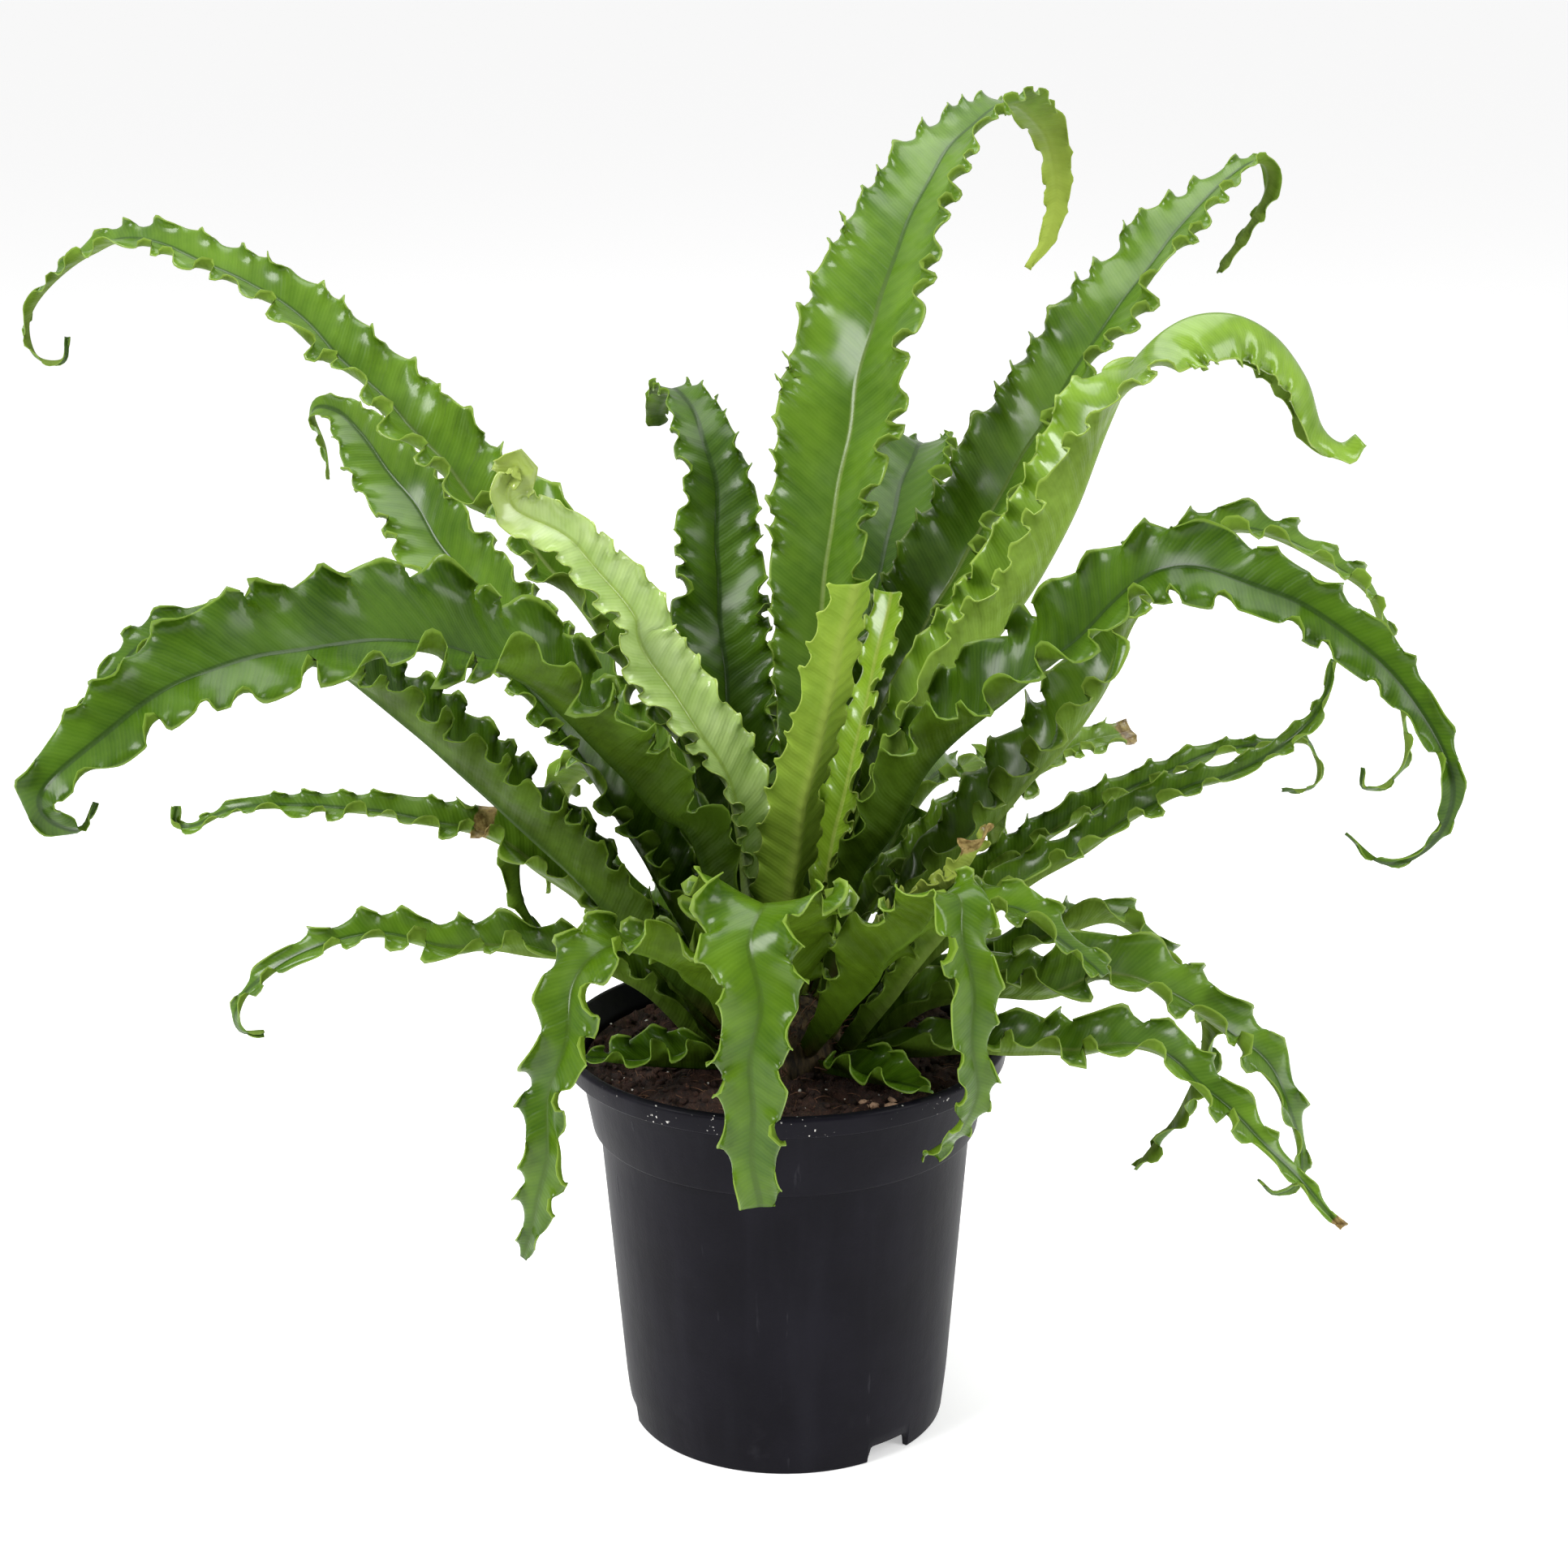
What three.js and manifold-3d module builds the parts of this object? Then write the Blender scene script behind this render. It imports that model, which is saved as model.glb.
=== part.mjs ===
// A wavy-edged bird's nest fern in a plain round nursery pot.
// Millimetres, +Z up. The origin is the middle of the pot's underside, and the front is towards -Y.

import * as THREE from "three";
import { mergeVertices } from "three/addons/utils/BufferGeometryUtils.js";
import Module from "manifold-3d";

const wasm = await Module();
wasm.setup();

// Pot: a thin moulded shell with a straight foot, a tapered wall, a wider band and a turned lip.
const POT = {
  height: 155,
  baseRadius: 61,
  padRadius: 44, // flat middle of the floor, which stands on the ground
  padSlope: 2, // how much wider the pad is where it meets the channel
  channelHeight: 7, // raised drainage channel round the pad
  channelBevel: 3,
  skirt: 2.4,
  kneeHeight: 15,
  kneeRadius: 62.8,
  stepHeight: 119,
  stepRise: 1,
  stepRadius: 71,
  bandRadius: 73.7,
  lipHeight: 8,
  lipWidth: 3,
  lipRound: 1.2,
  underLipRadius: 78.5,
  rimRadius: 85,
  wall: 1.5,
  segments: 48,
};
const NOTCH = { count: 3, first: -50.5, width: 20, height: 6.5, depth: 12 }; // drain slots in the foot
const TOUCH = 0.3; // space left between pieces that touch

// Soil: fills the pot to a little below the rim, with a plain hole for the crown.
const SOIL = { top: 145, rings: 5, lump: 1, longWave: 11, shortWaves: [7, 8] };

// Crown: the short thick stem that every frond grows from.
const CROWN = { radius: 24.7, centre: 146, rootRadius: 15, rootDepth: 26, rings: 9, segments: 28 };

// Fronds: a strap blade along a route, folded up at its midrib, with waved edges.
const BLADE = {
  thickness: 0.9,
  footWidth: 3.5,
  footRun: 7, // how far a frond leaves the crown straight
  widest: 0.36, // share of the length where the blade reaches its full width
  taper: 0.45, // share of the length where it starts to narrow
  taperPower: 1.5,
  tipWidth: 1.0,
  fold: [50, 44, 30, 16], // degrees that each half rises, from foot to tip
  roll: [0, 0], // degrees that the blade turns about its midrib, from foot to tip
  wave: 18,
  calmFoot: 0.28, // share of the length over which the waves grow from nothing
  calmPower: 0.6, // how fast they fade as the blade narrows
};

const DARK = "#3f6f24";
const GREEN = "#4f8c2a";
const LIGHT = "#7dae3a";
const LIME = "#a4c94a";
const OLIVE = "#8a8a35";

// Each frond: its heading, and the azimuth and elevation of its foot on the crown, in degrees;
// half width and wave height; fold, roll, widest and taper where they differ from BLADE's, or its
// half widths where it narrows in its own way; and its route, as steps of [distance out from its
// foot, height above the ground, sideways shift]. Lists run evenly from foot to tip.
const FRONDS = [
  // tall ones behind the middle
  {
    name: "tall_centre", heading: 60, foot: [92, 64], half: 30,
    widths: [3.5, 5.6, 11, 18, 25, 30, 28, 22, 16, 11, 7, 1.5], ruffle: 5, colour: GREEN,
    fold: [30, 24, 14], roll: [0, -10],
    route: [
      [13, 232, -2], [33, 313, 1], [60, 393], [86, 433], [120, 466], [150, 482, -2], [182, 489, -4],
      [218, 474, -2], [233, 451, -1], [229, 431, 1], [222, 418, 7],
    ],
  },
  {
    name: "tall_right", heading: 38, foot: [48, 57], half: 26,
    widths: [3.5, 5.8, 11.3, 18, 24, 26, 25, 24, 22, 19, 8, 4, 1.5], ruffle: 5, colour: GREEN,
    fold: [36, 30, 14],
    route: [
      [37, 264, 4], [63, 305, 2], [133, 395, -3], [189, 445, -2], [218, 462], [235, 466],
      [238, 453], [212, 424],
    ],
  },
  {
    name: "bright_right", heading: 14, foot: [8, 62], half: 24,
    widths: [3.5, 4.2, 8, 13.5, 20.5, 24, 24, 23, 22, 22, 18, 12, 7], ruffle: 4, colour: LIGHT,
    fold: [40, 50, 56, 58, 58, 58, 58, 40, -40, -60, -60, -60],
    route: [
      [12, 212, -1], [25, 246, -2], [46, 282, -4], [72, 312, -6], [92, 342, -6], [115, 392, -2],
      [126, 410], [141, 420], [160, 421, -1], [177, 412, -1], [190, 396, -1], [197, 378, -1],
      [205, 371, -1], [211, 374, -1],
    ],
  },
  {
    name: "dark_behind", heading: 75, foot: [78, 44], half: 26, ruffle: 5, colour: DARK,
    taper: 0.78,
    route: [[30, 190], [130, 285], [170, 318], [215, 338], [250, 332]],
  },
  {
    name: "dark_centre", heading: 100, foot: [130, 58], half: 20,
    widths: [3.5, 5, 9, 15, 19, 20, 17, 13, 10, 7, 4], ruffle: 5, colour: DARK,
    fold: [34, 30, 20, 14],
    route: [
      [23, 246, 3], [33, 269, 6], [46, 298, 7], [58, 324, 6], [70, 350, 5], [83, 367, 7],
      [103, 377, 10], [125, 380, 14], [151, 367, 16], [157, 360, 15],
    ],
  },
  // left side
  {
    name: "long_left", heading: 157, foot: [157, 50], half: 24, ruffle: 5, colour: GREEN,
    fold: [40, 44, 30, 20], roll: [-10, -25], widest: 0.45, taper: 0.28,
    route: [
      [19, 251], [38, 281], [87, 337], [107, 350, 2], [125, 369, 2], [180, 414, -1], [205, 428, -2],
      [255, 443, -4], [279, 437, -4], [298, 424, -1], [308, 410, 1], [304, 396, 3], [292, 395, 2],
      [291, 404],
    ],
  },
  {
    name: "left_second", heading: 138, foot: [138, 37], half: 23,
    widths: [3.5, 10, 18, 22, 23, 22, 21, 19, 15, 5, 1.5], ruffle: 5, colour: GREEN,
    roll: [-20, -55],
    route: [
      [43, 227, -11], [77, 247, -10], [112, 272, -9], [142, 290, -6], [186, 327, -7],
      [228, 358, -10], [245, 364, -10], [253, 361, -8], [249, 347, -10], [245, 334, -8],
    ],
  },
  {
    name: "bright_left", heading: 178, foot: [176, 67], half: 16,
    widths: [3.5, 7, 12, 15, 16, 15, 13, 11, 9, 6.5], ruffle: 4, colour: LIGHT, fold: [36, 24],
    roll: [5, -45, -75],
    route: [
      [9, 247, -5], [41, 301, -7], [46, 317, -7], [66, 343, -5], [88, 359], [85, 373], [90, 368],
    ],
  },
  {
    name: "big_left", heading: 215, foot: [218, 52], half: 30, ruffle: 7, colour: DARK,
    fold: [40, 40, 24, 16], roll: [0, -45], widest: 0.4, taper: 0.55,
    route: [
      [23, 237], [37, 252, -4], [57, 275, -4], [95, 312, -1], [139, 331], [187, 334, 1], [221, 330],
      [258, 311, 1], [270, 301], [267, 292, -2], [257, 287, -2], [252, 295, -1],
    ],
  },
  {
    name: "under_left", heading: 197, foot: [206, 34], half: 25, ruffle: 6, colour: DARK,
    roll: [5, -20],
    route: [
      [38, 200, 1], [63, 231], [135, 305], [169, 324, 2], [191, 329, 2], [211, 325, 2],
      [240, 293, 2],
    ],
  },
  {
    name: "inner_left", heading: 172, foot: [184, 41], half: 20, ruffle: 5, colour: DARK,
    roll: [0, -30], widest: 0.46,
    route: [[16, 196, 4], [50, 256, 7], [72, 284, 3], [94, 303], [112, 310]],
  },
  {
    name: "torn_left", heading: 180, foot: [178, 20], half: 18,
    widths: [3.5, 6.5, 13, 18, 18, 11, 9, 7, 5, 3, 2], ruffle: 5, colour: GREEN, roll: [-10, -30],
    route: [
      [38, 195, 1], [82, 231], [120, 242], [161, 246], [181, 245], [196, 238], [204, 239],
      [203, 246],
    ],
  },
  {
    name: "back_left", heading: 152, foot: [152, 16], half: 12, ruffle: 3, colour: DARK,
    route: [[20, 172], [70, 212], [92, 212], [94, 190], [80, 168]],
  },
  {
    name: "low_left", heading: 193, foot: [196, 13], half: 12,
    widths: [3.5, 6, 10, 12, 12, 11, 10, 8, 5, 3, 1], ruffle: 4, colour: GREEN, roll: [-5, -30],
    route: [
      [37, 184], [79, 198], [101, 201], [140, 208], [171, 194], [180, 183], [179, 175], [171, 174],
    ],
  },
  // front
  {
    name: "hang_left", heading: 236, foot: [236, 26], half: 20,
    widths: [3.5, 9, 17, 20, 17, 13, 12, 11, 10, 7, 2], ruffle: 6, colour: GREEN,
    fold: [50, 30, 20, 14],
    route: [
      [44, 198, 8], [68, 215, 8], [91, 225, 6], [107, 219, 4], [119, 197, 4], [127, 148],
      [125, 117, -10],
    ],
  },
  {
    name: "front_centre", heading: 262, foot: [262, 28], half: 31,
    widths: [3.5, 11, 23, 31, 29, 22, 17, 13.5, 12, 10, 6], ruffle: 8, colour: GREEN,
    fold: [50, 24, 14, 12, 10],
    route: [
      [12, 176], [34, 208, 2], [60, 234, 4], [82, 238, 6], [97, 222, 7], [106, 160, 7],
      [103, 140, 8],
    ],
  },
  {
    name: "front_right", heading: 300, foot: [295, 27], half: 20,
    widths: [3.5, 8, 15, 20, 18, 13, 11, 9, 7, 5, 4], ruffle: 6, colour: GREEN,
    fold: [50, 26, 16, 12],
    route: [
      [65, 224, 6], [84, 240, 3], [95, 242, 4], [102, 228, 1], [108, 190, 2], [106, 174, 3],
      [96, 157, 3], [78, 142, 3],
    ],
  },
  {
    name: "low_front_left", heading: 214, foot: [220, 8], half: 15, ruffle: 5, colour: DARK,
    route: [[20, 153], [42, 159], [66, 166]],
  },
  {
    name: "low_front_right", heading: 306, foot: [306, 7], half: 14, ruffle: 5, colour: DARK,
    route: [[20, 152], [42, 156], [64, 160]],
  },
  {
    name: "stub_right", heading: 330, foot: [313, 34], half: 11.5,
    widths: [3.5, 5.5, 8, 10.5, 11.5, 11.5, 11, 10.5], ruffle: 3, colour: OLIVE,
    fold: [50, 40, 26, 20],
    route: [[12, 182, 3], [34, 211, 4], [56, 232, 3], [66, 247]],
  },
  // right side
  {
    name: "big_right", heading: 335, foot: [327, 51], half: 25,
    widths: [3.5, 6, 13.5, 21, 25, 24, 19, 15, 12, 9, 5, 2, 1], ruffle: 7, colour: DARK,
    fold: [50, 40, 16, 16], roll: [-5, 8, 46, 50, 45],
    route: [
      [14, 219], [29, 243, 1], [47, 274, 1], [94, 316, 3], [129, 348], [172, 343], [211, 319, 1],
      [232, 286], [227, 263, 2], [211, 253, 2], [197, 262, 1],
    ],
  },
  {
    name: "arch_right", heading: 8, foot: [8, 44], half: 22,
    widths: [3.5, 10, 17, 21, 22, 17, 13, 10, 7, 4, 2, 1], ruffle: 6, colour: GREEN, roll: [-5, 30],
    route: [
      [42, 214], [95, 274, -2], [118, 317], [152, 344], [197, 324], [211, 304], [223, 258],
      [217, 243], [207, 241], [206, 249],
    ],
  },
  {
    name: "straight_right", heading: 0, foot: [356, 24], half: 13,
    widths: [3.5, 6, 10, 13, 12, 10, 9, 7, 5, 3, 1.5], ruffle: 4, colour: GREEN, roll: [0, 30],
    route: [[43, 195], [115, 245], [142, 256], [165, 269], [176, 283], [180, 300]],
  },
  {
    name: "hooked_right", heading: 16, foot: [18, 22], half: 11,
    widths: [3.5, 7, 10, 11, 10, 9, 7, 5, 3, 2, 1], ruffle: 4, colour: GREEN, roll: [0, 30],
    route: [
      [50, 203, 1], [129, 244, -1], [182, 253, -2], [194, 245, -2], [194, 233, -1], [181, 232],
    ],
  },
  {
    name: "short_right", heading: 30, foot: [38, 38], half: 11, widths: [3.5, 8, 11, 11, 9, 5],
    ruffle: 4, colour: LIGHT, roll: [0, 30],
    route: [[22, 198, 1], [44, 214], [65, 230, -2], [110, 248, -5], [138, 252, -6]],
  },
  {
    name: "narrow_right", heading: 328, foot: [328, 20], half: 11,
    widths: [3.5, 6, 8, 9, 10, 11, 10, 6], ruffle: 3, colour: GREEN,
    route: [[54, 217, -5], [70, 223, -5], [86, 220, -3], [111, 204, -4]],
  },
  {
    name: "low_back_right", heading: 10, foot: [6, 10], half: 11,
    widths: [3.5, 8, 11, 10, 8, 8, 7, 3], ruffle: 4, colour: GREEN, roll: [0, 20],
    route: [[33, 170], [56, 177], [102, 192], [137, 157], [142, 133], [132, 108], [116, 87]],
  },
  {
    name: "low_right", heading: 350, foot: [350, 8], half: 18,
    widths: [3.5, 8, 16, 18, 17, 16, 13, 10, 7, 3, 1], ruffle: 5, colour: GREEN, roll: [5, 35],
    route: [
      [32, 170], [75, 177], [99, 184], [120, 180], [160, 149], [171, 112], [163, 101, 1],
      [156, 106],
    ],
  },
  {
    name: "long_low_right", heading: 332, foot: [332, 8], half: 15,
    widths: [3.5, 8, 13, 15, 14, 13, 11, 9, 6, 3, 1.5], ruffle: 5, colour: GREEN, roll: [5, 25],
    route: [[38, 159], [86, 167], [108, 174], [130, 172, 1], [149, 161], [197, 121]],
  },
  {
    name: "small_right", heading: 25, foot: [28, 6], half: 12, ruffle: 4, colour: GREEN,
    route: [[50, 166], [72, 166], [92, 158], [102, 162]],
  },
  // young ones in the middle
  {
    name: "young_centre", heading: 300, foot: [290, 70], half: 13.5,
    widths: [3.5, 8, 12, 13.5, 13.5, 12.5, 11.5, 11, 10.5, 9], ruffle: 3, colour: LIME,
    fold: [30, 10],
    route: [[5, 224, -3], [28, 298], [45, 340]],
  },
  {
    name: "young_right", heading: 36, foot: [14, 75], half: 10,
    widths: [3.5, 4, 6.5, 9, 10, 9, 8, 8, 7], ruffle: 3, colour: LIME, fold: [36, 10],
    route: [[19, 256, -6], [31, 292, -5], [43, 320]],
  },
  // behind, out of sight from the front
  {
    name: "back_tall", heading: 96, foot: [104, 30], half: 20, ruffle: 5, colour: DARK,
    route: [[60, 212], [100, 238], [145, 248], [185, 232], [206, 204]],
  },
  {
    name: "back_arch_left", heading: 124, foot: [124, 24], half: 18, ruffle: 5, colour: GREEN,
    route: [[58, 205], [96, 226], [130, 218], [152, 188], [158, 160]],
  },
  {
    name: "back_arch_right", heading: 60, foot: [58, 24], half: 18, ruffle: 5, colour: GREEN,
    route: [[58, 202], [96, 224], [132, 218], [155, 190], [162, 164]],
  },
  {
    name: "back_low_left", heading: 130, foot: [128, 10], half: 14, ruffle: 4, colour: GREEN,
    route: [[50, 178], [78, 178], [98, 158], [108, 134]],
  },
  {
    name: "back_low_centre", heading: 102, foot: [102, 10], half: 15, ruffle: 4, colour: GREEN,
    route: [[55, 181], [90, 186], [120, 168], [140, 136], [146, 110]],
  },
  {
    name: "back_low_right", heading: 72, foot: [76, 12], half: 15, ruffle: 4, colour: GREEN,
    route: [[55, 180], [90, 184], [118, 165], [134, 135], [140, 112]],
  },
  {
    name: "back_corner_right", heading: 48, foot: [48, 8], half: 13, ruffle: 4, colour: GREEN,
    route: [[52, 174], [80, 174], [100, 156], [110, 132]],
  },
];

const WELD = 1e-4; // corners closer than this are one

const radians = (degrees) => (degrees * Math.PI) / 180;
const blend = (a, b, share) => a + (b - a) * share;

// Value at a share of the way through a list of evenly spaced values.
function along(values, share) {
  const place = share * (values.length - 1);
  const index = Math.min(Math.floor(place), values.length - 2);
  return blend(values[index], values[index + 1], place - index);
}

// Smooth rise from 0 to 1.
function rise(value) {
  const x = Math.min(Math.max(value, 0), 1);
  return x * x * (3 - 2 * x);
}

// Solid of revolution about the Z axis, from a profile of [radius, height] points.
function turned(profile, segments) {
  const points = profile.map(([radius, height]) => new THREE.Vector2(radius, height));
  const geometry = new THREE.LatheGeometry(points, segments);
  geometry.rotateX(Math.PI / 2);
  return geometry;
}

// Geometry with shared corners and nothing but positions.
function welded(geometry) {
  geometry.deleteAttribute("normal");
  geometry.deleteAttribute("uv");
  return mergeVertices(geometry, WELD);
}

// The same shape as a solid that can be cut.
function solid(geometry) {
  const merged = welded(geometry);
  return new wasm.Manifold(
    new wasm.Mesh({
      numProp: 3,
      vertProperties: merged.attributes.position.array,
      triVerts: new Uint32Array(merged.index.array),
    }),
  );
}

function geometryOf(body) {
  const mesh = body.getMesh();
  const geometry = new THREE.BufferGeometry();
  geometry.setAttribute("position", new THREE.BufferAttribute(mesh.vertProperties, 3));
  geometry.setIndex(new THREE.BufferAttribute(mesh.triVerts, 1));
  return geometry;
}

function piece(name, geometry, colour, roughness) {
  const material = new THREE.MeshStandardMaterial({ color: colour, roughness, metalness: 0 });
  const mesh = new THREE.Mesh(geometry, material);
  mesh.name = name;
  return mesh;
}

// Half width of a blade at a share of its length: read from its own widths where it has them, or
// a narrow foot, a long body and a drawn-out tip.
function halfWidth(frond, share) {
  if (frond.widths) return along(frond.widths, share);
  const opening = rise(share / (frond.widest ?? BLADE.widest));
  const body = blend(BLADE.footWidth, frond.half, opening);
  const start = frond.taper ?? BLADE.taper;
  const tapered = Math.max(0, (share - start) / (1 - start)) ** BLADE.taperPower;
  return Math.max(BLADE.tipWidth, body * (1 - tapered));
}

// Where a frond leaves the crown, and the direction straight out of it.
function footOf(frond) {
  const [azimuth, elevation] = frond.foot.map(radians);
  const out = new THREE.Vector3(
    Math.cos(elevation) * Math.cos(azimuth),
    Math.cos(elevation) * Math.sin(azimuth),
    Math.sin(elevation),
  );
  const place = out.clone().multiplyScalar(CROWN.radius + TOUCH);
  place.z += CROWN.centre;
  return { out, place };
}

// The midrib's curve through the foot and the route's points.
function midrib(frond) {
  const { out, place } = footOf(frond);
  const heading = radians(frond.heading);
  const ahead = new THREE.Vector3(Math.cos(heading), Math.sin(heading), 0);
  const side = new THREE.Vector3(-ahead.y, ahead.x, 0);
  const points = [place, place.clone().addScaledVector(out, BLADE.footRun)];
  for (const [distance, height, shift = 0] of frond.route) {
    const point = place.clone().addScaledVector(ahead, distance).addScaledVector(side, shift);
    point.z = height;
    points.push(point);
  }
  return { curve: new THREE.CatmullRomCurve3(points, false, "catmullrom", 0.5), side };
}

// One cross line of the blade: left edge, midrib and right edge.
function crossLine(frond, rib, count, step) {
  const share = step / count;
  const centre = rib.curve.getPointAt(share);
  const ahead = rib.curve.getTangentAt(share);
  const roll = radians(along(frond.roll ?? BLADE.roll, share));
  const side = rib.side.clone().addScaledVector(ahead, -rib.side.dot(ahead)).normalize();
  side.applyAxisAngle(ahead, roll);
  const up = ahead.clone().cross(side);
  const width = halfWidth(frond, share);
  const fold = radians(along(frond.fold ?? BLADE.fold, share));
  const calm = rise(share / BLADE.calmFoot) * (width / frond.half) ** BLADE.calmPower;
  const wave = frond.ruffle * calm * (step % 2 ? 1 : -1);
  const edge = (sign) =>
    centre
      .clone()
      .addScaledVector(side, sign * width * Math.cos(fold))
      .addScaledVector(up, width * Math.sin(fold) + wave);
  return [edge(1), centre, edge(-1)];
}

// A closed blade: the sheet of cross lines, given its thickness along its own normals.
function bladeGeometry(frond) {
  const rib = midrib(frond);
  const waves = Math.round(rib.curve.getLength() / BLADE.wave);
  const count = 2 * waves;
  const rows = [];
  for (let step = 0; step <= count; step++) rows.push(...crossLine(frond, rib, count, step));
  const faces = [];
  for (let step = 0; step < count; step++) {
    for (let column = 0; column < 2; column++) {
      const a = 3 * step + column;
      faces.push([a, a + 1, a + 4], [a, a + 4, a + 3]);
    }
  }
  return thickened(rows, faces, count);
}

// Normal of the sheet at each of its points, weighted by the area of the faces around it.
function sheetNormals(rows, faces) {
  const normals = rows.map(() => new THREE.Vector3());
  for (const face of faces) {
    const [a, b, c] = face.map((corner) => rows[corner]);
    const normal = b.clone().sub(a).cross(c.clone().sub(a));
    for (const corner of face) normals[corner].add(normal);
  }
  return normals.map((normal) => normal.normalize());
}

// Points round the sheet: up its left edge, across the tip and back down its right edge.
function sheetRim(count) {
  const rim = [];
  for (let step = 0; step <= count; step++) rim.push(3 * step);
  rim.push(3 * count + 1);
  for (let step = count; step >= 0; step--) rim.push(3 * step + 2);
  rim.push(1);
  return rim;
}

function thickened(rows, faces, count) {
  const normals = sheetNormals(rows, faces);
  const half = BLADE.thickness / 2;
  const positions = [];
  for (const side of [half, -half]) {
    rows.forEach((point, i) => positions.push(...point.clone().addScaledVector(normals[i], side)));
  }
  const under = rows.length;
  const index = [];
  for (const [a, b, c] of faces) index.push(a, b, c, under + a, under + c, under + b);
  const rim = sheetRim(count);
  rim.forEach((a, i) => {
    const b = rim[(i + 1) % rim.length];
    index.push(a, b, under + b, a, under + b, under + a);
  });
  const geometry = new THREE.BufferGeometry();
  geometry.setAttribute("position", new THREE.Float32BufferAttribute(positions, 3));
  geometry.setIndex(index);
  return geometry;
}

// Outside of the pot, from the middle of its underside up to the lip.
function potOutside() {
  const underLip = POT.height - POT.lipHeight;
  return [
    [0, 0],
    [POT.padRadius, 0],
    [POT.padRadius + POT.padSlope, POT.channelHeight],
    [POT.baseRadius - POT.skirt, POT.channelHeight],
    [POT.baseRadius - POT.skirt, 0],
    [POT.baseRadius, 0],
    [POT.kneeRadius, POT.kneeHeight],
    [POT.stepRadius, POT.stepHeight],
    [POT.bandRadius, POT.stepHeight + POT.stepRise],
    [POT.underLipRadius, underLip],
    [POT.rimRadius - POT.lipRound, underLip],
    [POT.rimRadius, POT.height - POT.lipRound],
    [POT.rimRadius - POT.lipRound, POT.height],
  ];
}

// Inside of the pot, from the lip down to the middle of its floor.
function potInside() {
  const knee = POT.kneeRadius - POT.wall;
  const channel = POT.channelHeight + POT.wall;
  return [
    [POT.rimRadius - POT.lipWidth, POT.height],
    [POT.underLipRadius - POT.wall, POT.height - POT.lipHeight],
    [POT.bandRadius - POT.wall, POT.stepHeight + POT.wall],
    [POT.stepRadius - POT.wall, POT.stepHeight],
    [knee, channel + POT.channelBevel],
    [knee - POT.channelBevel, channel],
    [POT.padRadius, channel],
    [POT.padRadius - POT.padSlope, POT.wall],
    [0, POT.wall],
  ];
}

function potGeometry() {
  let body = solid(turned([...potOutside(), ...potInside()], POT.segments));
  for (let i = 0; i < NOTCH.count; i++) {
    const box = new THREE.BoxGeometry(NOTCH.depth, NOTCH.width, 2 * NOTCH.height);
    box.translate(POT.baseRadius - POT.skirt / 2, 0, 0);
    box.rotateZ(radians(NOTCH.first + (i * 360) / NOTCH.count));
    body = body.subtract(solid(box));
  }
  return geometryOf(body);
}

// Height of the soil's lumpy top at a point.
function soilTop(x, y) {
  const [along, across] = SOIL.shortWaves;
  const short = Math.sin(x / along) * Math.cos(y / across);
  const long = Math.sin((x + y) / SOIL.longWave);
  return SOIL.top + SOIL.lump * (short + 0.6 * long);
}

// Radius of the soil's top edge, just inside the pot's band.
function soilEdge() {
  const share = (SOIL.top - POT.stepHeight) / (POT.height - POT.lipHeight - POT.stepHeight);
  return blend(POT.bandRadius, POT.underLipRadius, share) - POT.wall - 2 * TOUCH;
}

function soilProfile(edge, hole) {
  const channel = POT.channelHeight + POT.wall + TOUCH;
  const knee = POT.kneeRadius - POT.wall;
  const bottom = POT.wall + TOUCH;
  const holeBottom = CROWN.centre - CROWN.rootDepth - TOUCH;
  const profile = [
    [0, bottom],
    [POT.padRadius - POT.padSlope - TOUCH, bottom],
    [POT.padRadius - TOUCH, channel],
    [knee - POT.channelBevel - 2 * TOUCH, channel],
    [knee - 3 * TOUCH, channel + POT.channelBevel],
    [POT.stepRadius - POT.wall - 2 * TOUCH, POT.stepHeight],
  ];
  for (let i = 0; i <= SOIL.rings; i++) {
    profile.push([blend(edge, hole, i / SOIL.rings), SOIL.top]);
  }
  profile.push([CROWN.rootRadius + TOUCH, holeBottom], [0, holeBottom]);
  return profile;
}

function soilGeometry() {
  const edge = soilEdge();
  const hole = CROWN.radius + TOUCH;
  const geometry = turned(soilProfile(edge, hole), POT.segments);
  const position = geometry.attributes.position;
  for (let i = 0; i < position.count; i++) {
    const [x, y, z] = [position.getX(i), position.getY(i), position.getZ(i)];
    const radius = Math.hypot(x, y);
    const inside = radius > hole + 1 && radius < edge - 1;
    if (inside && z > SOIL.top - 1) position.setZ(i, soilTop(x, y));
  }
  return welded(geometry);
}

// A half ball above the soil and a tapered root below it.
function crownGeometry() {
  const profile = [
    [0, CROWN.centre - CROWN.rootDepth],
    [CROWN.rootRadius, CROWN.centre - CROWN.rootDepth],
  ];
  for (let i = 0; i <= CROWN.rings; i++) {
    const angle = (i / CROWN.rings) * (Math.PI / 2);
    const radius = i === CROWN.rings ? 0 : CROWN.radius * Math.cos(angle);
    profile.push([radius, CROWN.centre + CROWN.radius * Math.sin(angle)]);
  }
  return welded(turned(profile, CROWN.segments));
}

const fern = new THREE.Group();
fern.add(piece("pot", potGeometry(), "#2b2a33", 0.45));
fern.add(piece("soil", soilGeometry(), "#33231b", 1));
fern.add(piece("crown", crownGeometry(), "#4a3a22", 0.9));
for (const frond of FRONDS) {
  fern.add(piece(`frond_${frond.name}`, bladeGeometry(frond), frond.colour, 0.4));
}

export default fern;
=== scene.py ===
import math

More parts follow.
